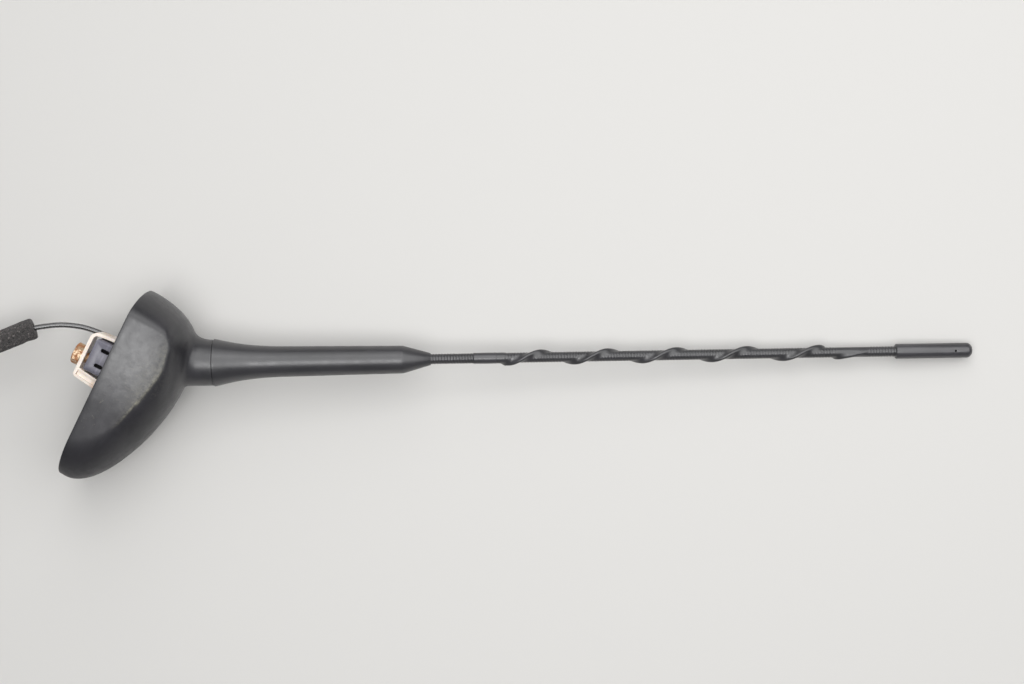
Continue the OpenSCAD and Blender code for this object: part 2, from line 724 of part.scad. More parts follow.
// The spiral: half turn number k lies at this distance from the mast's foot, and the cord is
// laid left-handed, so its bearing falls as it climbs
rib_lag = 5.4;
rib_zero = rib_start + rib_lag;
function rib_height_at(k) = rib_zero + half_pitch * k + pitch_growth / 2 * k * k;
function rib_bearing(k) = -180 * k;
function half_turn_at(t) =
    pitch_growth == 0 ? (t - rib_zero) / half_pitch
    : (sqrt(half_pitch * half_pitch + 2 * pitch_growth * (t - rib_zero)) - half_pitch) / pitch_growth;
rings_per_turn = 16;
k_first = half_turn_at(rib_start);
k_last = half_turn_at(rib_end);
rib_rings = ceil((k_last - k_first) / 2 * rings_per_turn);
rib_ks = [for (i = [0 : rib_rings]) k_first + (k_last - k_first) * i / rib_rings];
// How far the rib stands up at a distance from the mast's foot, from 0 to 1
function rib_share(t) =
    t < rib_start + 4 ? max(t - rib_start, 0) / 4
    : t > rib_fade ? pow(max(rib_end - t, 0) / (rib_end - rib_fade), 0.8) : 1;

// Bearings round one ring of the jacket, from the rib's crest: close together where the skin
// tents over the cord, and wide apart round the back
rib_bearings = [0, 12, 22, 36, 60, 90, 120, 150, 180, 210, 240, 270, 300, 324, 338, 348];
// Half of the widest of those steps, which sets how far a flat facet cuts inside the circle
rib_half_step = 15;
// Radius of a skin that is stretched over a rod of one radius and a cord beside it
function tent(a, rod_r, cord_r, cord_at) =
    let (d = min(a, 360 - a), free = acos((rod_r - cord_r) / cord_at))
    d >= free ? rod_r
    : let (touch = atan2(cord_r * sin(free), cord_at + cord_r * cos(free)))
      d >= touch ? rod_r / cos(free - d)
      : cord_at * cos(d) + sqrt(max(cord_r * cord_r - pow(cord_at * sin(d), 2), 0));

skin_t = (jacket_d - winding_d) / 2;
crest_r = jacket_d / 2 + rib_h;
outer_cord_r = skin_t + 0.75;
cord_seat = crest_r - outer_cord_r;
function jacket_ring(t, bearing, share, inner) =
    let (rod_r = inner ? winding_d / 2 / cos(rib_half_step) + 0.01 : jacket_d / 2,
         cord_r = inner ? outer_cord_r - skin_t : outer_cord_r)
    [for (a = rib_bearings)
        let (r = rod_r + share * (tent(a, rod_r, cord_r, cord_seat) - rod_r))
        [r * cos(bearing + a), r * sin(bearing + a), t]];
function jacket_rings(inner) = concat(
    [jacket_ring(jacket_start, rib_bearing(k_first), 0, inner)],
    [for (k = rib_ks) jacket_ring(rib_height_at(k), rib_bearing(k), rib_share(rib_height_at(k)), inner)],
    [jacket_ring(jacket_end, rib_bearing(k_last), 0, inner)]
);
module whip_jacket() {
    outside = jacket_rings(false);
    inside = jacket_rings(true);
    points = [for (ring = concat(outside, inside)) each ring];
    faces = tube_faces(len(outside), len(rib_bearings));
    color(black) on_foot(0) polyhedron(points, faces, convexity = 10);
}

// The cord under the jacket
cord_sides = 6;
module spiral_cord() {
    rings = [for (k = rib_ks)
        let (bearing = rib_bearing(k), t = rib_height_at(k), share = rib_share(t),
             r = cord_d / 2 * share, at = winding_d / 2 / cos(180 / rings_per_turn) + 0.02 + r)
        if (share > 0.3)
        [for (j = [0 : cord_sides - 1])
            let (a = 360 * j / cord_sides, out = at + r * cos(a), side = r * sin(a))
            [out * cos(bearing) - side * sin(bearing), out * sin(bearing) + side * cos(bearing), t]]];
    color(cream) on_foot(0) stack(rings);
}

module joint_sleeve() {
    color(satin) on_foot(joint_start) difference() {
        rotate_extrude() polygon([
            [0, 0], [joint_d / 2 - 0.2, 0], [joint_d / 2, 0.2], [joint_d / 2, joint_len - 0.2],
            [joint_d / 2 - 0.2, joint_len], [0, joint_len]
        ]);
        translate([0, 0, -1]) cylinder(d = jacket_d, h = joint_len + 2);
    }
}

// The cap on the whip's end, with a small vent in its side
module tip_cap() {
    r = cap_d / 2;
    dome = [for (i = [0 : 12]) [r * cos(7.5 * i), cap_len - r * 0.8 + r * 0.8 * sin(7.5 * i)]];
    color(satin) on_foot(cap_start) difference() {
        rotate_extrude() polygon(concat([[0, 0], [r - 0.35, 0], [r, 0.35]], dome));
        translate([0, 0, -1]) cylinder(d = jacket_d, h = cap_socket + 1);
        cylinder(d = rod_d, h = cap_socket + 8);
        translate([0, 0, cap_len - vent_drop]) rotate([90, 0, 0]) cylinder(d = vent_d, h = r + 1, $fn = 24);
    }
}

// The clip under the roof: a web across the spigot's end, a sprung rear arm that curves up
// from it, and a stiff front arm made of two flanges with a thinner web between them
web_top = -spigot_depth - web_gap;
web_bottom = web_top - web_t;
rear_face = spigot_x - spigot_len / 2 - arm_gap;
front_face = spigot_x + spigot_len / 2 + arm_gap;
rear_flare = 5;
front_flare = 8;
corner_r = spigot_edge_r + 0.4;
front_web_w = 9.6;
module rear_arm_shape() {
    bend = [for (i = [0 : 6]) let (a = 270 - (90 - rear_flare) * i / 6) [cos(a), sin(a)]];
    centre = [rear_face + corner_r, web_top + corner_r];
    lean = [-sin(rear_flare), cos(rear_flare)];
    climb = (-arm_end - centre[1]) / cos(rear_flare);
    inner = [for (b = bend) centre + corner_r * b];
    outer = [for (b = bend) centre + [(corner_r + arm_t) * b[0], (corner_r + web_t) * b[1]]];
    polygon(concat(
        inner, [inner[6] + climb * lean, outer[6] + climb * lean],
        [for (i = [6 : -1 : 0]) outer[i]]
    ));
}
module front_flange_shape(x, low) {
    rise = -arm_end - low;
    polygon([[x, low], [x + flange_t, low], [x + flange_t + rise * tan(front_flare), -arm_end],
             [x + rise * tan(front_flare), -arm_end]]);
}
module retainer_clip() {
    second = front_face + front_arm_t - flange_t;
    color(cream) difference() {
        translate([0, clip_w / 2, 0]) rotate([90, 0, 0]) union() {
            linear_extrude(clip_w) {
                rear_arm_shape();
                translate([rear_face + corner_r - eps, web_bottom])
                    square([front_face + flange_t - rear_face - corner_r + eps, web_t]);
                polygon([[front_face, web_bottom], [second, web_bottom],
                         [second + flange_t, web_bottom + corner_r / 2], [front_face, web_top]]);
                front_flange_shape(front_face, web_top - eps);
                front_flange_shape(second, web_bottom + corner_r / 2);
            }
            translate([0, 0, (clip_w - front_web_w) / 2]) linear_extrude(front_web_w)
                polygon([[front_face + flange_t / 2, web_top - eps], [second + flange_t / 2, web_top - eps],
                         [second + flange_t / 2 - (web_top + arm_end) * tan(front_flare), -arm_end],
                         [front_face + flange_t / 2 - (web_top + arm_end) * tan(front_flare), -arm_end]]);
        }
        translate([bolt_x, 0, web_bottom - 1]) cylinder(d = bolt_d + 0.6, h = web_t + 2);
    }
}

washer_t = 0.8;
washer_d = 11.4;
module bolt_washer() {
    color(zinc) translate([bolt_x, 0, web_bottom - washer_t]) tube(washer_d / 2, bolt_d / 2 + run_gap, washer_t);
}

bolt_tip = 3.5;
module fixing_bolt() {
    head_top = web_bottom - washer_t - head_gap;
    color(zinc) translate([bolt_x, 0, 0]) {
        translate([0, 0, head_top - bolt_head_h]) intersection() {
            cylinder(d = bolt_af / cos(30), h = bolt_head_h, $fn = 6);
            cylinder(r1 = bolt_af / 2 * 0.96, r2 = bolt_af / 2 * 0.96 + bolt_head_h * 1.7, h = bolt_head_h);
        }
        translate([0, 0, head_top - eps]) cylinder(d = bolt_d, h = bolt_tip - head_top - 0.6 + eps);
        translate([0, 0, bolt_tip - 0.6]) cylinder(d1 = bolt_d, d2 = bolt_d - 1.2, h = 0.6);
    }
}

housing();
neck_bush();
contact_spring();
circuit_board();
screening_can();
board_parts();
base_plate();
sealing_gasket();
plate_screws();
captive_nut();
cable_gland();
board_lead();
cable_lead();
foam_sleeve();
plug_boot();
plug_shell();
plug_insulator();
plug_pin();
foot_seal();
mast_stud();
mast_sleeve();
whip_rod();
whip_winding();
spiral_cord();
whip_jacket();
joint_sleeve();
tip_cap();
retainer_clip();
fixing_bolt();
bolt_washer();
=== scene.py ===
# %% [markdown]
# # A car's roof antenna
# The object has a domed black base with a leaning neck, a whip that screws into the neck,
# a nylon clip and a bolt that hold it in a roof, and a short aerial lead in a foam sleeve.
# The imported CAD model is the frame: it says where each piece is and how it moves. This file
# adds the finish: smooth skins, fine relief and materials that are made of nodes. Shapes are
# written in millimetres, which MM turns into Blender's metres, and the mast and the neck lean
# back from upright by LEAN.

# %% Load the frame
import math

import bmesh
import bpy
from mathutils import Matrix, Vector, noise


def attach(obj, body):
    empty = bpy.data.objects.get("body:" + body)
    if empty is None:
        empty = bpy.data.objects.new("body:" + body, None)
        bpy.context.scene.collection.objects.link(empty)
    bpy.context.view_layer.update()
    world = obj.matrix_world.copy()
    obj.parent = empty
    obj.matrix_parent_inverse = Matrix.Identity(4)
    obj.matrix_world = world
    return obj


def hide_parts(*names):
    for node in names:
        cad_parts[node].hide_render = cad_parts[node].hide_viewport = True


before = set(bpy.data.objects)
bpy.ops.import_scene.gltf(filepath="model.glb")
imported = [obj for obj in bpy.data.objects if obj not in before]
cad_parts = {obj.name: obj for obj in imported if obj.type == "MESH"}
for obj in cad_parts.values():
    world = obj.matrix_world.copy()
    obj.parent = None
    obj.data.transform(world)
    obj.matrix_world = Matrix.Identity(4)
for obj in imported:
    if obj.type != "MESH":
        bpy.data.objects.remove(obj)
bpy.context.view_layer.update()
MM = 0.001
LEAN = math.radians(27.2)

# %% [markdown]
# ## The camera
# The picture was taken from about a metre away with the antenna lying on its side. The camera
# was fitted to the outline of the base, the neck and the mast, so its place is given as a
# point and three axes, in the object's own frame. A matrix of those axes is exact, where
# aiming at a target would leave the roll to be guessed.

# %% Camera
camera_data = bpy.data.cameras.new("camera")
camera_data.sensor_width = 36
camera_data.lens = 65.78
camera_data.clip_start = 0.02
camera = bpy.data.objects.new("camera", camera_data)
bpy.context.scene.collection.objects.link(camera)
view_forward = Vector((0.057, 0.998, 0.0259)).normalized()
view_right = Vector((-0.4421, 0.002, 0.897))
view_right = (view_right - view_right.dot(view_forward) * view_forward).normalized()
view_up = view_right.cross(view_forward)
turn = Matrix((view_right, view_up, -view_forward)).transposed().to_4x4()
camera_point = Vector((-157.8, -972.3, 155.8)) * MM
camera.matrix_world = Matrix.Translation(camera_point) @ turn
bpy.context.scene.camera = camera
print("camera up", [round(v, 3) for v in view_up])

# %% [markdown]
# ## Table and light
# The antenna rests on its side, so the pale floor is the plane that touches the base's side
# and the mast's tip. It shows only its front and casts no shadow, so that it blocks neither
# the views from behind it nor the lamp there. A broad strip lamp behind the camera lies along
# the mast and gives black plastic its grey sheen. A small one, the key, makes the flat side
# of the base the brightest. The upper lamp lights the top of the mast, the rear one lights
# the far side, and a pale world fills the rest.

# %% Floor and lamps
def new_material(name):
    """A fresh node material, its node tree and its shader."""
    material = bpy.data.materials.new(name)
    material.use_nodes = True
    tree = material.node_tree
    return material, tree, tree.nodes["Principled BSDF"]


table_normal = Vector((0.028, 0.998, 0.082)).normalized()
table_point = Vector((10, 31.6, 2)) * MM
table_mesh = bpy.data.meshes.new("floor")
across = table_normal.orthogonal().normalized()
along = table_normal.cross(across)
reach = 4.0
signs = ((-1, -1), (1, -1), (1, 1), (-1, 1))
corners = [table_point + reach * (i * across + j * along) for i, j in signs]
table_mesh.from_pydata(corners, [], [(0, 1, 2, 3)])
table_mesh.update()
if table_mesh.polygons[0].normal.dot(table_normal) > 0:
    table_mesh.flip_normals()
table = bpy.data.objects.new("floor", table_mesh)
bpy.context.scene.collection.objects.link(table)
floor_material, floor_tree, floor_shader = new_material("pale_floor")
floor_shader.inputs["Base Color"].default_value = (0.64, 0.63, 0.61, 1)
floor_shader.inputs["Roughness"].default_value = 0.6
clear = floor_tree.nodes.new("ShaderNodeBsdfTransparent")
mix = floor_tree.nodes.new("ShaderNodeMixShader")
side = floor_tree.nodes.new("ShaderNodeNewGeometry")
path = floor_tree.nodes.new("ShaderNodeLightPath")
either = floor_tree.nodes.new("ShaderNodeMath")
either.operation = "MAXIMUM"
floor_tree.links.new(side.outputs["Backfacing"], either.inputs[0])
floor_tree.links.new(path.outputs["Is Shadow Ray"], either.inputs[1])
floor_tree.links.new(either.outputs[0], mix.inputs[0])
floor_tree.links.new(floor_shader.outputs[0], mix.inputs[1])
floor_tree.links.new(clear.outputs[0], mix.inputs[2])
floor_tree.links.new(mix.outputs[0], floor_tree.nodes["Material Output"].inputs["Surface"])
table_mesh.materials.append(floor_material)

world = bpy.data.worlds.new("pale_world")
bpy.context.scene.world = world
world.use_nodes = True
backdrop = world.node_tree.nodes["Background"]
backdrop.inputs["Color"].default_value = (0.92, 0.93, 0.95, 1)
backdrop.inputs["Strength"].default_value = 0.25
bpy.context.scene.view_settings.view_transform = "Standard"


def soft_lamp(name, place, target, size, power, length=None, roll=0.0):
    """An area lamp that faces a target, in metres. A longer one may lean to one side."""
    data = bpy.data.lights.new(name, "AREA")
    data.shape = "RECTANGLE"
    data.size = size
    data.size_y = length or size
    data.energy = power
    lamp = bpy.data.objects.new(name, data)
    bpy.context.scene.collection.objects.link(lamp)
    aim = (Vector(target) - Vector(place)).to_track_quat("-Z", "Y").to_matrix().to_4x4()
    lamp.matrix_world = Matrix.Translation(place) @ aim @ Matrix.Rotation(roll, 4, "Z")
    lamp.visible_camera = False


middle = (-0.06, 0, 0.12)
soft_lamp("strip", (-0.46, -1.12, 0.26), middle, 1.5, 17, length=2.0, roll=LEAN)
soft_lamp("key", (0.17, -1.15, 0.10), middle, 0.5, 3.0)
soft_lamp("upper", (-1.0, -0.75, -0.35), middle, 0.9, 3.5)
soft_lamp("rear", (0.1, 1.3, 0.6), middle, 1.2, 6)
print("lamps", [light.name for light in bpy.data.lights])

# %% [markdown]
# ## Formulas as nodes
# A node tree can hold a formula, but a long one is hard to read as a list of nodes and links.
# This small class lets Python's own plus and minus signs lay down the Math nodes, so that a
# shape's rule can be written as one would write it on paper.

# %% Formula helper
class Formula:
    """A number in a node tree. Arithmetic on it adds Math nodes."""

    def __init__(self, tree, socket):
        self.tree = tree
        self.socket = socket

    def do(self, operation, *others):
        node = self.tree.nodes.new("ShaderNodeMath")
        node.operation = operation
        for slot, value in zip(node.inputs, (self, *others)):
            if isinstance(value, Formula):
                self.tree.links.new(value.socket, slot)
            else:
                slot.default_value = value
        return Formula(self.tree, node.outputs[0])

    def __add__(self, other):
        return self.do("ADD", other)

    __radd__ = __add__

    def __sub__(self, other):
        return self.do("SUBTRACT", other)

    def __rsub__(self, other):
        return (self * -1) + other

    def __mul__(self, other):
        return self.do("MULTIPLY", other)

    __rmul__ = __mul__

    def __truediv__(self, other):
        return self.do("DIVIDE", other)

    def below(self, limit):
        """1 where this is less than the limit, and 0 elsewhere."""
        return self.do("LESS_THAN", limit)

    def clip(self):
        return self.do("MAXIMUM", 0.0).do("MINIMUM", 1.0)


def pick(test, yes, no):
    """yes where the test is 1, and no where it is 0."""
    return no + test * (yes - no)


def shape_tree(name, inputs):
    """An empty Geometry Nodes tree with named number inputs and a material input."""
    tree = bpy.data.node_groups.new(name, "GeometryNodeTree")
    tree.interface.new_socket("Geometry", in_out="OUTPUT", socket_type="NodeSocketGeometry")
    for label, value in inputs.items():
        kind = "NodeSocketInt" if isinstance(value, int) else "NodeSocketFloat"
        tree.interface.new_socket(label, in_out="INPUT", socket_type=kind).default_value = value
    tree.interface.new_socket("Material", in_out="INPUT", socket_type="NodeSocketMaterial")
    given = tree.nodes.new("NodeGroupInput")
    numbers = {label: Formula(tree, given.outputs[label]) for label in inputs}
    return tree, given, numbers


def wrapped_grid(tree, given, sides, rings, placed):
    """A grid that a formula wraps into a tube: placed gives X, Y and Z from two shares."""
    grid = tree.nodes.new("GeometryNodeMeshGrid")
    grid.inputs["Size X"].default_value = 1
    grid.inputs["Size Y"].default_value = 1
    tree.links.new(sides.socket, grid.inputs["Vertices X"])
    tree.links.new(rings.socket, grid.inputs["Vertices Y"])
    where = tree.nodes.new("GeometryNodeInputPosition")
    split = tree.nodes.new("ShaderNodeSeparateXYZ")
    tree.links.new(where.outputs[0], split.inputs[0])
    x, y, z = placed(Formula(tree, split.outputs[0]) + 0.5, Formula(tree, split.outputs[1]) + 0.5)
    join = tree.nodes.new("ShaderNodeCombineXYZ")
    for value, slot in zip((x, y, z), join.inputs):
        tree.links.new(value.socket, slot)
    move = tree.nodes.new("GeometryNodeSetPosition")
    tree.links.new(grid.outputs["Mesh"], move.inputs["Geometry"])
    tree.links.new(join.outputs[0], move.inputs["Position"])
    weld = tree.nodes.new("GeometryNodeMergeByDistance")
    weld.inputs["Distance"].default_value = 1e-6
    smooth = tree.nodes.new("GeometryNodeSetShadeSmooth")
    real = tree.nodes.new("GeometryNodeRealizeInstances")
    paint = tree.nodes.new("GeometryNodeSetMaterial")
    out = tree.nodes.new("NodeGroupOutput")
    tree.links.new(given.outputs["Material"], paint.inputs["Material"])
    chain = [move, weld, smooth, real, paint, out]
    for a, b in zip(chain, chain[1:]):
        tree.links.new(a.outputs[0], b.inputs[0])


def grown(name, tree, material, values, place):
    """The mesh that a tree makes, as a plain object with its place in its mesh."""
    holder = bpy.data.objects.new(name + "_seed", bpy.data.meshes.new(name + "_seed"))
    bpy.context.scene.collection.objects.link(holder)
    modifier = holder.modifiers.new("shape", "NODES")
    modifier.node_group = tree
    keys = {item.name: item.identifier for item in tree.interface.items_tree
            if item.in_out == "INPUT"}
    for label, value in values.items():
        modifier[keys[label]] = value
    modifier[keys["Material"]] = material
    depsgraph = bpy.context.evaluated_depsgraph_get()
    mesh = bpy.data.meshes.new_from_object(holder.evaluated_get(depsgraph))
    bpy.data.objects.remove(holder)
    mesh.transform(place)
    mesh.name = name
    piece = bpy.data.objects.new(name, mesh)
    bpy.context.scene.collection.objects.link(piece)
    return piece


print("helpers ready")

# %% [markdown]
# ## Skins from rings
# Most other pieces are lofts: a stack of closed rings, each with as many points as the last.
# A turned piece is a loft of circles, a hose is a loft of circles along a path, and the base
# is a loft of ovals. One helper joins rings into a smooth skin.

# %% Loft helpers
FOOT = 52.7
mast_place = Matrix.Rotation(-LEAN, 4, "Y") @ Matrix.Translation((0, 0, FOOT * MM))


def skin(name, rings, material, body, closed=False, sharp=40, place=None):
    """Joins rings of points, in millimetres, into a smooth piece that rides on a body."""
    count = len(rings[0])
    points = [Vector(p) * MM for ring in rings for p in ring]
    faces = []
    for i in range(len(rings) if closed else len(rings) - 1):
        for j in range(count):
            a, b = i * count + j, i * count + (j + 1) % count
            c, d = (a + count) % len(points), (b + count) % len(points)
            faces.append((a, b, d, c))
    if not closed:
        faces.append(tuple(range(count))[::-1])
        faces.append(tuple(range(len(points) - count, len(points))))
    mesh = bpy.data.meshes.new(name)
    mesh.from_pydata(points, [], faces)
    if place is not None:
        mesh.transform(place)
    work = bmesh.new()
    work.from_mesh(mesh)
    bmesh.ops.remove_doubles(work, verts=work.verts, dist=1e-7)
    bmesh.ops.recalc_face_normals(work, faces=work.faces)
    work.to_mesh(mesh)
    work.free()
    mesh.shade_smooth()
    mesh.set_sharp_from_angle(angle=math.radians(sharp))
    mesh.materials.append(material)
    piece = bpy.data.objects.new(name, mesh)
    bpy.context.scene.collection.objects.link(piece)
    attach(piece, body)
    return piece


def turned(name, profile, material, body, sides):
    """A piece turned about the mast's axis, from a list of radius and height."""
    turns = [math.tau * j / sides for j in range(sides)]
    rings = [[(r * math.cos(a), r * math.sin(a), z) for a in turns] for r, z in profile]
    return skin(name, rings, material, body, place=mast_place)


def bezier(p, t):
    """A point on the cubic curve of four control values, which may be numbers or vectors."""
    s = 1 - t
    return p[0] * s**3 + p[1] * (3 * s * s * t) + p[2] * (3 * s * t * t) + p[3] * t**3


print("mast foot at", [round(v, 4) for v in mast_place.to_translation()])

# %% [markdown]
# ## Finishes
# Every finish is made of noise at the size of the real grain. Moulded black plastic has a
# fine grain that breaks up the sheen, faint rub marks that run along the part, and a little
# dust. Aged nylon is cream with darker stains, and the bolt is plated steel that has begun
# to rust. Object coordinates keep each pattern fixed to its piece.

# %% Finish helpers
def place_along(tree, axis):
    """How far along X, Y or Z a point of the piece is, in metres."""
    where = tree.nodes.new("ShaderNodeTexCoord")
    split = tree.nodes.new("ShaderNodeSeparateXYZ")
    tree.links.new(where.outputs["Object"], split.inputs[0])
    return split.outputs[axis]


def noise_node(tree, scale, detail=2.0, stretch=(1, 1, 1), rough=0.5, lean=0.0):
    """Noise on Object coordinates, with a scale per axis, in lumps per metre.

    The axes may lean with the mast. A Mapping of the Texture kind turns before it scales.
    """
    where = tree.nodes.new("ShaderNodeTexCoord")
    mapping = tree.nodes.new("ShaderNodeMapping")
    mapping.vector_type = "TEXTURE"
    mapping.inputs["Rotation"].default_value = (0, -lean, 0)
    mapping.inputs["Scale"].default_value = [1 / value for value in stretch]
    texture = tree.nodes.new("ShaderNodeTexNoise")
    texture.inputs["Scale"].default_value = scale
    texture.inputs["Detail"].default_value = detail
    texture.inputs["Roughness"].default_value = rough
    tree.links.new(where.outputs["Object"], mapping.inputs[0])
    tree.links.new(mapping.outputs[0], texture.inputs["Vector"])
    return texture.outputs["Fac"]


def ramp(tree, value, low, high, start=0.0, end=1.0):
    """Maps a range of a number to another range, and holds it there."""
    node = tree.nodes.new("ShaderNodeMapRange")
    node.inputs["From Min"].default_value = low
    node.inputs["From Max"].default_value = high
    node.inputs["To Min"].default_value = start
    node.inputs["To Max"].default_value = end
    tree.links.new(value, node.inputs["Value"])
    return node.outputs["Result"]


def blend_colour(tree, share, first, second):
    """A colour between two, by a share. Each may be a colour or another node's output."""
    node = tree.nodes.new("ShaderNodeMix")
    node.data_type = "RGBA"
    tree.links.new(share, node.inputs[0])
    for slot, value in ((node.inputs[6], first), (node.inputs[7], second)):
        if isinstance(value, tuple):
            slot.default_value = (*value, 1)
        else:
            tree.links.new(value, slot)
    return node.outputs[2]


def relief(tree, shader, height, strength, depth):
    """Adds a bump of a real depth, in metres, on top of any bump that is there already."""
    node = tree.nodes.new("ShaderNodeBump")
    node.inputs["Strength"].default_value = strength
    node.inputs["Distance"].default_value = depth
    tree.links.new(height, node.inputs["Height"])
    if shader.inputs["Normal"].links:
        tree.links.new(shader.inputs["Normal"].links[0].from_socket, node.inputs["Normal"])
    tree.links.new(node.outputs[0], shader.inputs["Normal"])


def near_point(tree, point, radius):
    """1 at a point of the piece, falling to 0 at a distance, all in millimetres."""
    where = tree.nodes.new("ShaderNodeTexCoord")
    away = tree.nodes.new("ShaderNodeVectorMath")
    away.operation = "DISTANCE"
    away.inputs[1].default_value = Vector(point) * MM
    tree.links.new(where.outputs["Object"], away.inputs[0])
    return ramp(tree, away.outputs["Value"], 0.25 * radius * MM, radius * MM, 1, 0)


def calc(tree, a, b, operation="MULTIPLY"):
    """A Math node on two numbers, each of which is a value or another node's output."""
    node = tree.nodes.new("ShaderNodeMath")
    node.operation = operation
    for slot, value in zip(node.inputs, (a, b)):
        if isinstance(value, (int, float)):
            slot.default_value = value
        else:
            tree.links.new(value, slot)
    return node.outputs[0]


def moulded(name, dark, light, rough, grain=1800, rub=(30, 400, 400), rub_share=0.35, lean=0.0,
            grain_depth=0.00004):
    """Moulded plastic: two shades, a fine grain, and rub marks along one axis."""
    material, tree, shader = new_material(name)
    cloud = ramp(tree, noise_node(tree, 45, 3), 0.35, 0.7)
    marks = ramp(tree, noise_node(tree, 1, 3, rub, 0.6, lean), 0.56, 0.72)
    speckle = ramp(tree, noise_node(tree, 0.8 * grain, 3, rough=0.7), 0.3, 0.7)
    colour = blend_colour(tree, cloud, dark, light)
    worn = tuple(min(1, 2.2 * c + 0.02) for c in light)
    colour = blend_colour(tree, calc(tree, marks, rub_share), colour, worn)
    colour = blend_colour(tree, calc(tree, speckle, 0.3), colour, tuple(1.7 * c for c in light))
    tree.links.new(colour, shader.inputs["Base Color"])
    uneven = ramp(tree, noise_node(tree, 260, 4), 0.3, 0.7, rough - 0.04, rough + 0.05)
    gloss = calc(tree, uneven, ramp(tree, speckle, 0, 1, -0.05, 0.05), "ADD")
    tree.links.new(gloss, shader.inputs["Roughness"])
    shader.inputs["Specular IOR Level"].default_value = 1.0
    relief(tree, shader, noise_node(tree, grain, 2), 0.45, grain_depth)
    relief(tree, shader, noise_node(tree, 120, 2), 0.25, 0.0001)
    return material, tree, shader, colour


print("finish helpers ready")

# %% [markdown]
# ## Black plastic with wear
# The base has lived on a roof. Its side is scuffed, the crease round that side is worn pale
# and also carries a painted highlight, and dust and small chips sit on the nose. Each worn
# spot is a soft ball in Object coordinates that lets a noise show through, so the wear stays
# on its spot from every side. The neck and the middle of each side keep their polish, and the
# rest has gone dull. The crease isn't a ball: the base's mesh will carry a number of its own,
# 1 where its side has begun to turn away, and the material reads that number to paint the
# pale wear and the highlight there.

# %% Finishes of the black pieces
# Of these colours, the crease's is pale wear with a painted highlight in it, and the slots' is
# painted shade.
DUST, WORN_EDGE_AND_HIGHLIGHT, SLOT_SHADE = (0.20, 0.185, 0.155), (0.22, 0.21, 0.165), (0.004, 0.003, 0.004)
NOSE_FROM, NOSE_TO, NOSE_DULL = 2, 46, 0.16
DULL_LEVEL, POLISHED_LEVEL = 0.38, 1.0
housing_black, tree, shader, base_colour = moulded(
    "base_black", (0.012, 0.012, 0.014), (0.024, 0.023, 0.027), 0.36, rub_share=0.1)
chips = ramp(tree, noise_node(tree, 520, 5, rough=0.7), 0.60, 0.68)
scuffs = ramp(tree, noise_node(tree, 1, 5, (900, 700, 260), 0.7), 0.54, 0.70)
# Each spot is a point and a radius in millimetres, a pattern and its strength.
spots = [((-6, -28, 21), 15, scuffs, 0.35), ((8, -28, 14), 14, scuffs, 0.2),
         ((-24, -27, 20), 12, chips, 0.3), ((57, -8, 14), 9, chips, 0.8),
         ((60, 4, 8), 8, chips, 0.5), ((30, 14, 30), 16, scuffs, 0.3),
         ((-36, 8, 22), 12, chips, 0.4), ((20, -29, 6), 16, chips, 0.35)]
for point, radius, pattern, amount in spots:
    share = calc(tree, calc(tree, near_point(tree, point, radius), pattern), amount)
    base_colour = blend_colour(tree, share, base_colour, DUST)
nose_share = ramp(tree, place_along(tree, "X"), NOSE_FROM * MM, NOSE_TO * MM)
patchy = calc(tree, nose_share, ramp(tree, noise_node(tree, 70, 4, rough=0.6), 0.3, 0.6, 0.5, 1))
gloss = shader.inputs["Roughness"].links[0].from_socket
gloss = calc(tree, gloss, calc(tree, patchy, NOSE_DULL), "ADD")
tree.links.new(gloss, shader.inputs["Roughness"])
polished = near_point(tree, (-24, -6, 47), 27)
for side_y in (-29, 29):
    polished = calc(tree, polished, near_point(tree, (-14, side_y, 8), 33), "MAXIMUM")
level = ramp(tree, polished, 0, 1, DULL_LEVEL, POLISHED_LEVEL)
tree.links.new(level, shader.inputs["Specular IOR Level"])
# Along the crease the colour turns pale: partly wear, partly a painted highlight.
edge_wear_and_highlight = tree.nodes.new("ShaderNodeAttribute")
edge_wear_and_highlight.attribute_name = "edge_wear_and_highlight"
ragged = ramp(tree, noise_node(tree, 420, 4, rough=0.7), 0.33, 0.70)
rubbed_and_lit = calc(tree, edge_wear_and_highlight.outputs["Fac"], ragged)
base_colour = blend_colour(tree, rubbed_and_lit, base_colour, WORN_EDGE_AND_HIGHLIGHT)
tree.links.new(base_colour, shader.inputs["Base Color"])

sleeve_black = moulded(
    "sleeve_black", (0.011, 0.011, 0.013), (0.021, 0.020, 0.024), 0.36,
    rub=(400, 400, 40), rub_share=0.2, lean=LEAN)[0]
jacket_black = moulded(
    "jacket_black", (0.012, 0.012, 0.013), (0.026, 0.025, 0.029), 0.34,
    grain=2600, rub=(500, 500, 60), rub_share=0.3, lean=LEAN, grain_depth=0.00002)[0]
cap_black = moulded(
    "cap_black", (0.018, 0.018, 0.020), (0.036, 0.034, 0.040), 0.34,
    grain=1600, rub=(400, 400, 50), lean=LEAN)[0]
rubber_black = moulded(
    "rubber_black", (0.016, 0.016, 0.016), (0.034, 0.033, 0.032), 0.58,
    grain=900, grain_depth=0.00008)[0]
lead_black, tree, shader, _ = moulded(
    "lead_black", (0.012, 0.011, 0.012), (0.024, 0.023, 0.024), 0.25, grain=700)
shader.inputs["Coat Weight"].default_value = 0.7
shader.inputs["Coat Roughness"].default_value = 0.2
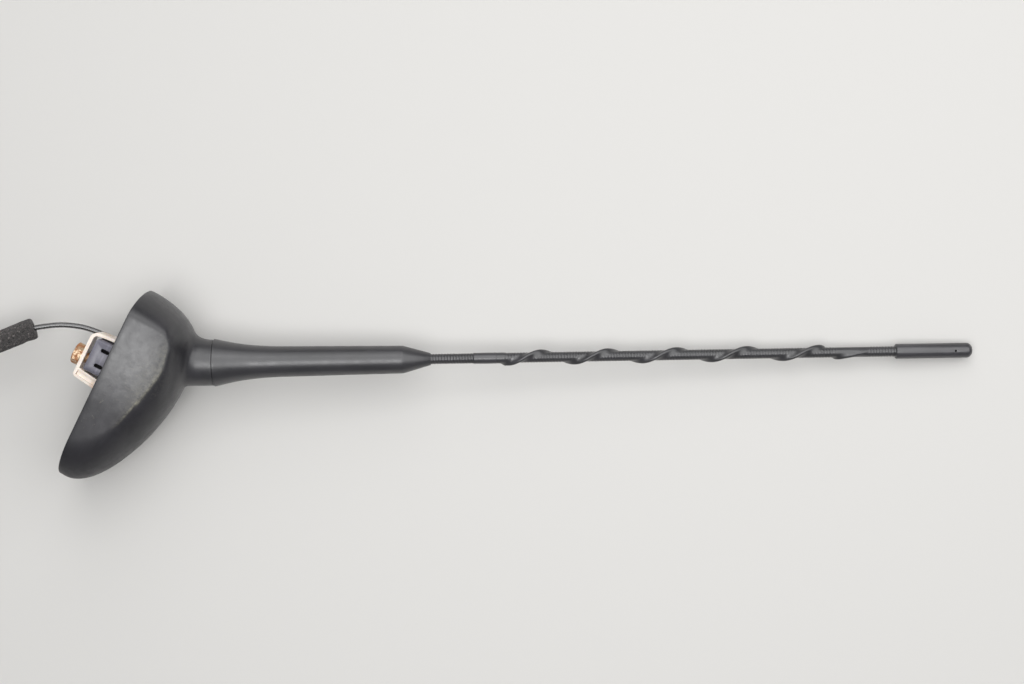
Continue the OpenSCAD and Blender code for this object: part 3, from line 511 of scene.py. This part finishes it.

# The block's two latch slots, in millimetres: where each is, how far their painted shade
# reaches, and from which Y inwards they are painted dark as shade.
SLOTS = [(x - 1, -7.5, -5.4) for x in (-4.2, 4.2)]
SLOT_REACH, DARK_FROM, DARK_TO = 4.4, -8.85, -8.3
slate_plastic, tree, shader, slate_colour = moulded(
    "slate_plastic", (0.090, 0.088, 0.118), (0.135, 0.130, 0.165), 0.42)
inside = ramp(tree, place_along(tree, "Y"), DARK_FROM * MM, DARK_TO * MM)
gloss = shader.inputs["Roughness"].links[0].from_socket
# Inside each slot the colour is painted near black as shade, and the surface is made fully rough.
for slot_middle in SLOTS:
    share = calc(tree, inside, ramp(tree, near_point(tree, slot_middle, SLOT_REACH), 0, 0.2))
    slate_colour = blend_colour(tree, share, slate_colour, SLOT_SHADE)
    gloss = calc(tree, gloss, share, "MAXIMUM")
tree.links.new(slate_colour, shader.inputs["Base Color"])
tree.links.new(gloss, shader.inputs["Roughness"])
print("black finishes ready")

# %% [markdown]
# ## Nylon, metal and foam
# Natural nylon lets a little light in, so it gets some subsurface light. Plating and rust are
# two finishes with a noise between them. Foam is all pores, so its bump is deep, its surface
# is rough and the torn walls of its pores show as pale specks.

# %% Other finishes
nylon, tree, shader = new_material("aged_nylon")
stain = ramp(tree, noise_node(tree, 160, 4, rough=0.6), 0.50, 0.78)
cream = blend_colour(tree, stain, (0.95, 0.85, 0.76), (0.70, 0.49, 0.33))
grime = ramp(tree, noise_node(tree, 700, 3), 0.62, 0.78)
cream = blend_colour(tree, calc(tree, grime, 0.45), cream, (0.24, 0.15, 0.09))
tree.links.new(cream, shader.inputs["Base Color"])
shader.inputs["Roughness"].default_value = 0.42
shader.inputs["Subsurface Weight"].default_value = 0.12
shader.inputs["Subsurface Radius"].default_value = (0.002, 0.0014, 0.0008)
relief(tree, shader, noise_node(tree, 900, 3), 0.3, 0.00006)


def plated(name, bright, rust, rust_from, rough=0.34):
    """Plated steel, with rust where the noise is above a level."""
    material, tree, shader = new_material(name)
    patch = ramp(tree, noise_node(tree, 420, 5, rough=0.65), rust_from, rust_from + 0.12)
    shade = blend_colour(tree, ramp(tree, noise_node(tree, 90, 2), 0.3, 0.7), bright,
                         tuple(0.72 * c for c in bright))
    tree.links.new(blend_colour(tree, patch, shade, rust), shader.inputs["Base Color"])
    tree.links.new(ramp(tree, patch, 0, 1, 1, 0.25), shader.inputs["Metallic"])
    tree.links.new(ramp(tree, patch, 0, 1, rough, 0.8), shader.inputs["Roughness"])
    relief(tree, shader, noise_node(tree, 1400, 4), 0.4, 0.00007)
    return material


rusty_zinc = plated("rusty_zinc", (0.66, 0.50, 0.34), (0.40, 0.18, 0.08), 0.46)
zinc = plated("zinc_plating", (0.62, 0.61, 0.58), (0.36, 0.20, 0.10), 0.66)
nickel = plated("nickel_plating", (0.68, 0.66, 0.62), (0.30, 0.26, 0.20), 0.74, 0.22)
turned_brass = plated("turned_brass", (0.66, 0.46, 0.19), (0.28, 0.19, 0.09), 0.66, 0.26)
copper_wire = plated("enamelled_wire", (0.50, 0.22, 0.10), (0.20, 0.09, 0.05), 0.70, 0.30)

foam, tree, shader = new_material("open_foam")
pores = ramp(tree, noise_node(tree, 800, 5, rough=0.8), 0.40, 0.62)
specks = ramp(tree, noise_node(tree, 950, 4, rough=0.7), 0.58, 0.66)
foam_colour = blend_colour(tree, pores, (0.006, 0.005, 0.005), (0.070, 0.058, 0.055))
foam_colour = blend_colour(tree, calc(tree, specks, 0.85), foam_colour, (0.42, 0.37, 0.35))
tree.links.new(foam_colour, shader.inputs["Base Color"])
shader.inputs["Roughness"].default_value = 0.95
shader.inputs["Sheen Weight"].default_value = 0.2
shader.inputs["Sheen Roughness"].default_value = 0.6
relief(tree, shader, pores, 0.9, 0.0007)

board_green, tree, shader = new_material("board_lacquer")
tracks = tree.nodes.new("ShaderNodeTexBrick")
tracks.inputs["Scale"].default_value = 180
tracks.inputs["Color1"].default_value = (0.02, 0.12, 0.05, 1)
tracks.inputs["Color2"].default_value = (0.03, 0.16, 0.07, 1)
tracks.inputs["Mortar"].default_value = (0.06, 0.24, 0.10, 1)
where = tree.nodes.new("ShaderNodeTexCoord")
tree.links.new(where.outputs["Object"], tracks.inputs["Vector"])
tree.links.new(tracks.outputs["Color"], shader.inputs["Base Color"])
shader.inputs["Roughness"].default_value = 0.25

glass_fibre = moulded(
    "glass_fibre", (0.55, 0.50, 0.34), (0.70, 0.65, 0.48), 0.35, rub=(900, 900, 30))[0]
white_nylon = moulded("white_nylon", (0.66, 0.63, 0.55), (0.78, 0.76, 0.68), 0.40)[0]
print("materials", len(bpy.data.materials))

# %% [markdown]
# ## The base
# The real base is one moulding that flows from a low nose over a shoulder into the neck. Its
# side is four curves: the nose, the crown, the rear end and the neck's rear sweep. Every
# cross ring is an oval through one point of the front curve and one of the rear curve, so
# the rings fan out from level at the roof to square across the neck at the top. The ring
# list goes on over the neck's edge, down the bore and round the hollow to the rim, which
# closes the shell. Round the neck's root the rings are eased, because the dome flows into
# the neck there. Last, the mesh gets from its normals the number that places the crease's
# pale wear and painted highlight.

# %% Base
BASE_FRONT, BASE_REAR, BASE_W, DOME_H = 62.8, 43.0, 61.0, 38.0
NECK_TOP, NECK_R, EDGE_Z, RIM_GAP, WALL = 52.5, 12.0, 1.9, 0.3, 2.6
shoulder = Vector((BASE_FRONT - 22.6, 0.716 * DOME_H))
crown_end = Vector((-4.3, DOME_H))
rear_foot = Vector((8.8 - BASE_REAR, 0.78 * DOME_H))
lean_up = Vector((-math.sin(LEAN), math.cos(LEAN)))
lean_side = Vector((math.cos(LEAN), math.sin(LEAN)))


def neck_point(s, side):
    """The point of the neck's side view at a distance along the axis, in front or behind."""
    return s * lean_up + side * NECK_R * lean_side


nose_curve = [Vector((BASE_FRONT, EDGE_Z)), Vector((BASE_FRONT + 2.7, 0.33 * DOME_H)),
              shoulder + Vector((10.1, -4.6)), shoulder]
crown_curve = [shoulder, shoulder + Vector((-14.4, 7.2)), crown_end + Vector((13.8, 0)), crown_end]
rear_curve = [Vector((-BASE_REAR, EDGE_Z)), Vector((0.1 - BASE_REAR, 0.32 * DOME_H)),
              Vector((4.4 - BASE_REAR, 0.64 * DOME_H)), rear_foot]
neck_front = [crown_end, crown_end + Vector((-2.7, 0.2)),
              neck_point(NECK_TOP - 13.2, 1), neck_point(NECK_TOP, 1)]
neck_rear = [rear_foot, rear_foot + Vector((2, 3.1)),
             neck_point(NECK_TOP - 5.6, -1), neck_point(NECK_TOP, -1)]

# Tables over the dome's rise, from 0 at the rim to 1 at the neck. The first two give where the
# straight side ends, as shares of the base's front and rear, and the last how far it leans in.
side_front = ((0, 0.605), (0.25, 0.43), (0.5, 0.07), (0.6, -0.09), (0.72, -0.25), (1, -0.295))
side_rear = ((0, 0.68), (0.25, 0.68), (0.5, 0.67), (0.6, 0.64), (0.72, 0.54), (1, 0.465))
side_in = ((0, 0), (0.25, 0.033), (0.5, 0.075), (0.62, 0.098), (0.72, 0.125), (0.79, 0.19),
           (0.88, 0.31), (1, 0.443))


def table_slope(table, i):
    """The slope of a table's smooth curve at one of its points."""
    (k0, v0), (k1, v1) = table[max(i - 1, 0)], table[min(i + 1, len(table) - 1)]
    return (v1 - v0) / (k1 - k0)


def smooth_lookup(key, table):
    """A smooth curve through a table's points, read at a key."""
    i = max(k for k in range(len(table) - 1) if table[k][0] <= key)
    (k0, v0), (k1, v1) = table[i], table[i + 1]
    h = k1 - k0
    t = (key - k0) / h
    return ((2 * t**3 - 3 * t * t + 1) * v0 + (t**3 - 2 * t * t + t) * h * table_slope(table, i)
            + (3 * t * t - 2 * t**3) * v1 + (t**3 - t * t) * h * table_slope(table, i + 1))


def sides(u):
    """Where a ring's straight side ends in front and behind, and half its width."""
    return (BASE_FRONT * smooth_lookup(u, side_front), -BASE_REAR * smooth_lookup(u, side_rear),
            BASE_W / 2 * (1 - smooth_lookup(u, side_in)))


RING_POINTS = 192


def flat_ring(front, rear, side_f, side_r, half_width):
    """A ring of two half ovals and straight sides, through a front and a rear point."""
    ring = []
    for j in range(RING_POINTS):
        a = math.tau * (j + 0.5) / RING_POINTS
        c = math.cos(a)
        x = side_f + (front[0] - side_f) * c if c > 0 else side_r + (side_r - rear[0]) * c
        z = rear[1] + (front[1] - rear[1]) * (x - rear[0]) / (front[0] - rear[0])
        ring.append((x, half_width * math.sin(a), z))
    return ring


def oval(front, rear, half_width):
    """A ring without straight sides."""
    mid = (front[0] + rear[0]) / 2
    return flat_ring(front, rear, mid, mid, half_width)


def dome_ring(u, depth=0.0):
    """One ring of the dome, or of its hollow if it has a depth."""
    curve, t = (nose_curve, 2 * u) if u < 0.5 else (crown_curve, 2 * u - 1)
    step = 1e-4
    ends = []
    for line, v, turn_sign in ((curve, t, 1), (rear_curve, u, -1)):
        v = min(v, 1 - step)
        here, ahead = bezier(line, v), bezier(line, v + step)
        way = (ahead - here).normalized()
        ends.append(here + depth * turn_sign * Vector((-way[1], way[0])))
    side_f, side_r, half = sides(u)
    return flat_ring(ends[0], ends[1], side_f, side_r, half - depth)


def leaning_ring(r, s):
    """A circle square to the mast's axis, at a distance along it."""
    ring = []
    for j in range(RING_POINTS):
        a = math.tau * (j + 0.5) / RING_POINTS
        x, y = r * math.cos(a), r * math.sin(a)
        ring.append((x * math.cos(LEAN) - s * math.sin(LEAN), y,
                     x * math.sin(LEAN) + s * math.cos(LEAN)))
    return ring


RIM_R, RIM_STEPS, DOME_STEPS, NECK_STEPS = 0.35, 4, 60, 28
rings = []
for i in range(RIM_STEPS + 1):
    a = math.pi / 2 * i / RIM_STEPS
    inset, z = RIM_R * (1 - math.sin(a)), RIM_GAP + RIM_R * (1 - math.cos(a))
    rings.append(flat_ring((BASE_FRONT - inset, z), (inset - BASE_REAR, z), *sides(0)[:2],
                           BASE_W / 2 - inset))
rings += [dome_ring(i / DOME_STEPS) for i in range(1, DOME_STEPS + 1)]
neck_width = [sides(1)[2], NECK_R + 0.4, NECK_R, NECK_R]
for i in range(1, NECK_STEPS + 1):
    t = i / NECK_STEPS
    rings.append(oval(bezier(neck_front, t), bezier(neck_rear, t), bezier(neck_width, t)))

# The neck's root is eased: each ring near it moves towards the mean of its neighbours.
VALLEY, VALLEY_REACH, EASINGS = RIM_STEPS + 1 + DOME_STEPS, 9, 12
for _ in range(EASINGS):
    before = rings[:]
    for i in range(VALLEY - VALLEY_REACH, VALLEY + VALLEY_REACH + 1):
        share = 0.25 * (1 - abs(i - VALLEY) / (VALLEY_REACH + 1))
        rings[i] = [tuple(Vector(b) * (1 - 2 * share) + share * (Vector(a) + Vector(c)))
                    for a, b, c in zip(before[i - 1], before[i], before[i + 1])]
NECK_EDGE = 0.16
rings[-1] = leaning_ring(NECK_R, NECK_TOP - NECK_EDGE)
rings.append(leaning_ring(NECK_R - 0.05, NECK_TOP - 0.05))
rings.append(leaning_ring(NECK_R - NECK_EDGE, NECK_TOP))

# Inside: the bore's steps as radius and height, the hollow under the dome, and the recess of
# the base plate.
PLATE_TOP = 4.5
bore = ((10.7, NECK_TOP), (10.7, 52.1), (6.0, 52.1), (6.0, 35.5), (8.2, 35.5), (8.2, 34.0))
rings += [leaning_ring(r, s) for r, s in bore]
rings += [dome_ring(u, WALL + 1) for u in (0.84, 0.75, 0.6, 0.45, 0.3, 0.15)]
rings.append([(p[0], p[1], PLATE_TOP) for p in dome_ring(0.1, WALL + 1)])
shrink_x, shrink_y = 1 - WALL / ((BASE_FRONT + BASE_REAR) / 2), 1 - WALL / (BASE_W / 2)
mid_x = (BASE_FRONT - BASE_REAR) / 2
outline = flat_ring((BASE_FRONT, 0), (-BASE_REAR, 0), *sides(0))
recess = [(mid_x + (p[0] - mid_x) * shrink_x, p[1] * shrink_y) for p in outline]
rings.append([(*p, PLATE_TOP) for p in recess])
rings.append([(*p, RIM_GAP) for p in recess])
base = skin("base_skin", rings, housing_black, "base", closed=True, sharp=35)

# The crease's wear and painted highlight follow the line where the side has begun to turn
# away, which is where the normal points this much to -Y. It fades out towards both ends.
CREASE_TILT, TILT_SPREAD = 0.955, 0.028
CREASE_REAR, CREASE_FRONT, CREASE_LOW, CREASE_HIGH = -30, 26, 9, 32
crease_wear_and_highlight = base.data.attributes.new("edge_wear_and_highlight", "FLOAT", "POINT")
for vertex in base.data.vertices:
    x, y, z = vertex.co / MM
    if y < 0 and CREASE_LOW < z < CREASE_HIGH:
        ends = min(1, max(0, (x - CREASE_REAR) / 12)) * min(1, max(0, (CREASE_FRONT - x) / 14))
        off_line = (-vertex.normal.y - CREASE_TILT) / TILT_SPREAD
        crease_wear_and_highlight.data[vertex.index].value = ends * math.exp(-off_line**2)
print("worn points", sum(value.value > 0.5 for value in crease_wear_and_highlight.data))
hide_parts("housing")
print("base", len(base.data.polygons), "faces")

# %% [markdown]
# ## The mast's sleeve and joint
# The sleeve and the short joint above it are turned shapes, each made from its half profile.
# The sleeve's flare is one curve, and the edge at its top is rounded as a moulding is.

# %% Turned pieces of the mast
def arc(cx, cz, r, start, end, steps):
    """Points on an arc of a profile, angles in degrees from the radius axis."""
    turns = [math.radians(start + (end - start) * i / steps) for i in range(steps + 1)]
    return [(cx + r * math.cos(a), cz + r * math.sin(a)) for a in turns]


SLEEVE_LEN, CONE_LEN, TOP_R, TIP_R, TOP_ROUND = 98.2, 14.4, 7.25, 3.2, 1.6
cone_top = SLEEVE_LEN + CONE_LEN
flare = [Vector((12.4, 0.2)), Vector((10.55, 9)), Vector((8.4, 15.62)), Vector((8, 35.5))]
profile = [(0, 0), (12.2, 0)] + arc(12.2, 0.2, 0.2, -90, 0, 5)[1:]
profile += [tuple(bezier(flare, i / 40)) for i in range(1, 41)]
cone_way = Vector((TIP_R - TOP_R, CONE_LEN)).normalized()
corner = Vector((TOP_R, SLEEVE_LEN))
edge = [Vector((TOP_R, SLEEVE_LEN - TOP_ROUND)), corner, corner, corner + TOP_ROUND * cone_way]
profile += [tuple(bezier(edge, i / 10)) for i in range(11)]
profile += [(TIP_R, cone_top - 0.2), (3.0, cone_top), (2.55, cone_top), (2.55, cone_top - 2),
            (0, cone_top - 2)]
sleeve = turned("sleeve_skin", profile, sleeve_black, "mast", 128)
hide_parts("mast_sleeve")

profile = [(2.5, 134.8), (2.75, 134.8), (2.9, 135.0), (2.92, 135.6), (2.86, 136.3), (2.88, 139),
           (2.9, 142), (2.87, 145.6), (2.92, 146.3), (2.9, 146.8), (2.75, 147.0), (2.5, 147.0)]
joint = turned("joint_skin", profile, cap_black, "mast", 64)
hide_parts("joint_sleeve")
print("sleeve", len(sleeve.data.polygons), "faces")

# %% [markdown]
# ## The whip
# A fine wire is wound on a glass-fibre rod, a cord is laid round it in a long left-handed
# spiral, and a tube is shrunk over all of it. The tube tents over the cord, which makes the
# rib that keeps the whip from whistling, and the wire shows through as fine ridges. All
# that is one rule for the radius at each angle and height, so Geometry Nodes wrap a flat
# grid into the tube. The angle is counted from the rib's crest, so the grid's columns follow
# the spiral, and they lie closer together there. The tube is smooth on the tent, and on the
# collar where the whip was shrunk twice. At its end the cord makes a quick half turn and then
# lies almost straight.

# %% Whip
whip_numbers = {
    "Sides": 37, "Rings": 2300, "Start": 98.2, "End": 370.1, "Jacket radius": 2.6,
    "Rib height": 1.5, "Fold radius": 1.25, "Rib start": 147.2, "Rib fade": 317.5,
    "Rib end": 340.0, "Rib zero": 152.6, "Half pitch": 17.0, "Pitch growth": 0.22,
    "Tail from": 315.0, "Tail to": 326.0, "Collar top": 152.0, "Collar height": 0.24,
    "Wire pitch": 1.52, "Ridge height": 0.2}
RIB_RISE, FADE_POWER, TAIL_SLACK, COLUMN_POWER = 4, 0.7, 0.28, 1.5
COLLAR_LEN, TAIL_LEAD, TAIL_BLEND, TENT_BLEND = 7, 5, 3, 0.3
whip_tree, given, number = shape_tree("ribbed_whip", whip_numbers)


def whip_place(around, up):
    """X, Y and Z of the jacket, in metres, from two shares between 0 and 1."""
    height = number["Start"] + up * (number["End"] - number["Start"])
    pitch, growth = number["Half pitch"], number["Pitch growth"]
    tail_from, tail_to, rib_end = number["Tail from"], number["Tail to"], number["Rib end"]
    climbed = height - number["Rib zero"]
    half_turns = ((pitch * pitch + 2 * growth * climbed).do("SQRT") - pitch) / growth
    into_tail = ((height - tail_from) / (tail_to - tail_from)).clip()
    hurry = into_tail * into_tail * (into_tail * -2 + 3) * 0.5
    slack = ((height - tail_to) / (rib_end - tail_to)).clip() * TAIL_SLACK
    crest = (half_turns + hurry - slack) * -math.pi
    offset = around * 2 - 1
    angle = offset.do("SIGN") * offset.do("ABSOLUTE").do("POWER", COLUMN_POWER) * math.pi
    away = angle.do("ABSOLUTE")
    rise = ((height - number["Rib start"]) / RIB_RISE).clip()
    fade = ((rib_end - height) / (rib_end - number["Rib fade"])).clip().do("POWER", FADE_POWER)
    plain, fold = number["Jacket radius"], number["Fold radius"]
    seat = plain + number["Rib height"] - fold
    free = ((plain - fold) / seat).do("ARCCOSINE")
    touch = (fold * free.do("SINE")).do("ARCTAN2", seat + fold * free.do("COSINE"))
    fold_depth = (fold * fold - (seat * away.do("SINE")).do("POWER", 2)).do("SQRT")
    over = seat * away.do("COSINE") + fold_depth
    slope = plain / (free - away).do("COSINE")
    tented = pick(away.below(touch), over, pick(away.below(free), slope, plain))
    bearing = crest + angle
    wire = (height / number["Wire pitch"] - bearing / math.tau) * math.pi
    collar_foot = number["Rib start"] - COLLAR_LEN
    collar = (number["Collar top"] - height).clip() * (height - collar_foot).clip()
    tail = ((height - (tail_to - TAIL_LEAD)) / TAIL_BLEND).clip() * (rib_end + 1 - height).clip()
    tent = rise * fade * ((free + TENT_BLEND - away) / TENT_BLEND).clip()
    bare = (1 - tent) * (1 - collar) * (1 - tail)
    ridge = (wire.do("SINE").do("ABSOLUTE") - 0.6) * number["Ridge height"] * bare
    skin_radius = plain + rise * fade * (tented - plain) + ridge
    radius = (skin_radius + collar * number["Collar height"]) * MM
    return radius * bearing.do("COSINE"), radius * bearing.do("SINE"), height * MM


wrapped_grid(whip_tree, given, number["Sides"], number["Rings"], whip_place)
whip = grown("whip_skin", whip_tree, jacket_black, whip_numbers, mast_place)


def cap_ends(piece):
    """Closes the open rings of a tube with flat faces."""
    work = bmesh.new()
    work.from_mesh(piece.data)
    bmesh.ops.holes_fill(work, edges=[e for e in work.edges if e.is_boundary], sides=0)
    bmesh.ops.recalc_face_normals(work, faces=work.faces)
    work.to_mesh(piece.data)
    work.free()


cap_ends(whip)
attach(whip, "mast")
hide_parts("whip_jacket", "spiral_cord")
print("whip", len(whip.data.polygons), "faces")

# %% [markdown]
# ## The aerial lead
# A thin coaxial lead drops out of the gland and curves forward into a foam sleeve that keeps
# it from rattling in the roof lining. Both follow one route, which repeats the points of the
# CAD model. The foam is a soft tube with a lumpy skin, so its rings are pushed in and out
# a little by a smooth noise.

# %% Lead
route = [Vector(p) * MM for p in (
    (-10, 12.5, -6), (-10, 12.5, -12), (-9.7, 12, -18), (-8.8, 11.3, -24.5), (-7, 10.5, -30.5),
    (-4.4, 9.6, -36.5), (-1, 8.8, -42), (2.6, 8, -47), (7, 7.4, -51.2), (11.6, 6.8, -55.2),
    (16.6, 6.2, -59.6), (21.2, 5.8, -64.2), (25.4, 5.4, -69.4), (29, 5.2, -75.2), (31.9, 5, -81.4),
    (34.1, 5, -88), (35.6, 5, -94.8), (36.4, 5, -101.6), (36.6, 5, -108.6), (36.6, 5, -115.4),
    (36.6, 5, -121.6), (36.6, 5, -128), (36.6, 5, -134), (36.6, 5, -140))]
FOAM_FROM, FOAM_TO = 7, 19
LEAD_STEPS, FOAM_STEPS = 6, 14
# Each size of the foam's lumps: how high in millimetres, and how dense.
LUMPS = ((0.26, 0.22), (0.18, 0.7), (0.16, 1.6))


def smooth_route(points, steps):
    """A smooth line through the points, with some steps between each two."""
    line = []
    for i in range(len(points) - 1):
        before = points[i - 1] if i else 2 * points[0] - points[1]
        after = points[i + 2] if i + 2 < len(points) else 2 * points[-1] - points[-2]
        for k in range(steps):
            t = k / steps
            line.append(0.5 * (2 * points[i] + (points[i + 1] - before) * t
                               + (2 * before - 5 * points[i] + 4 * points[i + 1] - after) * t**2
                               + (3 * points[i] - before - 3 * points[i + 1] + after) * t**3))
    return line + [points[-1]]


def hose_rings(line, radius_at, sides):
    """Rings in millimetres round a line in metres. radius_at gives a radius in metres."""
    rings = []
    for i, point in enumerate(line):
        way = (line[min(i + 1, len(line) - 1)] - line[max(i - 1, 0)]).normalized()
        u = way.cross(Vector((0, 1, 0))).normalized()
        v = way.cross(u)
        ring = []
        for j in range(sides):
            a = math.tau * j / sides
            out = math.cos(a) * u + math.sin(a) * v
            ring.append((point + radius_at(i, point, out) * out) / MM)
        rings.append(ring)
    return rings


lead_line = smooth_route(route, LEAD_STEPS)
lead_r, foam_r = 1.4 * MM, 5.5 * MM
lead_rings = hose_rings(lead_line, lambda i, point, out: lead_r, 24)
lead = skin("lead_skin", lead_rings, lead_black, "base", sharp=60)
lead_length = sum((b - a).length for a, b in zip(lead_line, lead_line[1:]))
print("lead length", round(lead_length, 4))

foam_line = smooth_route(route[FOAM_FROM:FOAM_TO + 1], FOAM_STEPS)


def foam_radius(i, point, out):
    """The foam's radius: lumpy along its length and drawn in a little at both ends."""
    spot = (point + foam_r * out) * 1000
    lumps = sum(height * noise.noise(spot * density) for height, density in LUMPS)
    end = min(i, len(foam_line) - 1 - i) / 2
    return foam_r + lumps * MM - 0.3 * MM * max(0, 1 - end) ** 2


foam_rings = hose_rings(foam_line, foam_radius, 96)
foam_piece = skin("foam_skin", foam_rings, foam, "base", sharp=60)
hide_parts("foam_sleeve")
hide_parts("cable_lead")

# %% [markdown]
# ## Threads
# The stud in the mast's foot and the fixing bolt are threaded. A thread is a helix whose
# radius falls and rises with the turn, so it is the same kind of rule as the whip's: a grid
# wrapped into a rod. Each rod tapers at its end, as a real screw does, to find its hole.

# %% Threads
STUD_LEN = 11.0
thread_numbers = {"Sides": 33, "Rings": 220, "Radius": 2.5, "Depth": 0.45, "Pitch": 0.8,
                  "Length": STUD_LEN, "Lead in": 0.8}
thread_tree, given, rod = shape_tree("threaded_rod", thread_numbers)


def thread_place(around, up):
    """X, Y and Z of a threaded rod from its end at 0 up, in metres."""
    height = up * rod["Length"]
    angle = around * math.tau
    phase = (height / rod["Pitch"] - around).do("FRACT")
    valley = 1 - (phase * 2 - 1).do("ABSOLUTE")
    deep = rod["Depth"] * (valley * 1.3 - 0.15).clip()
    start = ((height / rod["Lead in"]) * -1 + 1).clip() * rod["Depth"]
    radius = (rod["Radius"] - deep.do("MAXIMUM", start)) * MM
    return radius * angle.do("COSINE"), radius * angle.do("SINE"), height * MM


wrapped_grid(thread_tree, given, rod["Sides"], rod["Rings"], thread_place)
stud_place = mast_place @ Matrix.Translation((0, 0, -STUD_LEN * MM))
stud = grown("stud_thread", thread_tree, turned_brass, thread_numbers, stud_place)
cap_ends(stud)
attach(stud, "mast")
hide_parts("mast_stud")

BOLT_X = 3
bolt_top, bolt_head_top = 3.5, -17.05
bolt_numbers = {**thread_numbers, "Radius": 2.95, "Depth": 0.55, "Pitch": 1.0,
                "Length": bolt_top - bolt_head_top, "Rings": 330}
bolt_end = Vector((BOLT_X, 0, bolt_top)) * MM
bolt_place = Matrix.Translation(bolt_end) @ Matrix.Rotation(math.pi, 4, "X")
bolt_rod = grown("bolt_thread", thread_tree, rusty_zinc, bolt_numbers, bolt_place)
cap_ends(bolt_rod)
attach(bolt_rod, "bolt")
print("threads", len(stud.data.polygons), len(bolt_rod.data.polygons))

# %% [markdown]
# ## Hexagon head
# The bolt's head is a forged hexagon with a turned chamfer on its free end. Cutting a hexagon
# with a cone gives the curved corners that every such head has, so the ring of the chamfer
# is worked out point by point: the smaller of the hexagon and the cone.

# %% Bolt head
def hexagon_radius(angle, across_flats):
    """Distance from the axis to a hexagon's side, at an angle from one corner."""
    part = (angle + math.pi / 6) % (math.pi / 3) - math.pi / 6
    return across_flats / 2 / math.cos(math.pi / 6 - abs(part))


HEAD_H, ACROSS_FLATS, HEAD_POINTS = 4.0, 10, 144


def head_ring(z, cone):
    """A ring of the head: the hexagon, or the cone's radius where that is smaller."""
    ring = []
    for j in range(HEAD_POINTS):
        a = math.tau * j / HEAD_POINTS
        r = min(hexagon_radius(a, ACROSS_FLATS), cone)
        ring.append((BOLT_X + r * math.cos(a), r * math.sin(a), z))
    return ring


low = bolt_head_top - HEAD_H
head_rings = [head_ring(low, 4.3), head_ring(low, 4.72)]
head_rings += [head_ring(low + 0.1 * i, 4.78 + 0.17 * i) for i in range(1, 7)]
head_rings += [head_ring(bolt_head_top - down, cone)
               for down, cone in ((0.5, 9), (0.25, 9), (0, 5.5))]
head = skin("bolt_head", head_rings, rusty_zinc, "bolt", sharp=28)
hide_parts("fixing_bolt")
print("bolt head", len(head.data.polygons), "faces")

# %% [markdown]
# ## Softened edges
# A moulded or pressed piece has no knife edges, and its small round edges catch the light.
# The CAD pieces that show have sharp ones, so a copy of each is merged and bevelled, and
# stands for the CAD piece.

# %% Softened copies
def softened(node, material, body, width):
    """A copy of a CAD node with rounded edges, whose width is in millimetres."""
    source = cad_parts[node]
    mesh = source.data.copy()
    mesh.name = node + "_soft"
    mesh.transform(source.matrix_world)
    work = bmesh.new()
    work.from_mesh(mesh)
    bmesh.ops.remove_doubles(work, verts=work.verts, dist=1e-6)
    bmesh.ops.dissolve_limit(work, angle_limit=math.radians(1.5), verts=work.verts,
                             edges=work.edges)
    work.to_mesh(mesh)
    work.free()
    mesh.materials.clear()
    mesh.materials.append(material)
    piece = bpy.data.objects.new(node + "_soft", mesh)
    bpy.context.scene.collection.objects.link(piece)
    bevel = piece.modifiers.new("edges", "BEVEL")
    bevel.width = width * MM
    bevel.segments = 2
    bevel.limit_method = "ANGLE"
    bevel.angle_limit = math.radians(35)
    bevel.use_clamp_overlap = True
    depsgraph = bpy.context.evaluated_depsgraph_get()
    rounded = bpy.data.meshes.new_from_object(piece.evaluated_get(depsgraph))
    piece.modifiers.clear()
    piece.data = rounded
    rounded.shade_smooth()
    rounded.set_sharp_from_angle(angle=math.radians(50))
    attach(piece, body)
    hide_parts(node)
    return piece


clip = softened("retainer_clip", nylon, "clip", 0.25)
plate = softened("base_plate", slate_plastic, "base", 0.2)
washer = softened("bolt_washer", rusty_zinc, "clip", 0.12)
tip = softened("tip_cap", cap_black, "mast", 0.1)
print("softened", [len(piece.data.polygons) for piece in (clip, plate, washer, tip)])

# %% [markdown]
# ## Finishes of the CAD pieces
# The pieces whose CAD shape is already right keep it and only take a finish.

# %% Paint the CAD pieces
node_finish = {
    "neck_bush": turned_brass, "contact_spring": turned_brass, "circuit_board": board_green,
    "screening_can": nickel, "board_parts": cap_black, "sealing_gasket": rubber_black,
    "plate_screws": zinc, "captive_nut": zinc, "cable_gland": rubber_black,
    "board_lead": lead_black, "plug_boot": rubber_black, "plug_shell": nickel,
    "plug_insulator": white_nylon, "plug_pin": nickel, "foot_seal": rubber_black,
    "whip_rod": glass_fibre, "whip_winding": copper_wire}
for node, material in node_finish.items():
    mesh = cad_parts[node].data
    mesh.materials.clear()
    mesh.materials.append(material)
print("painted", len(node_finish))
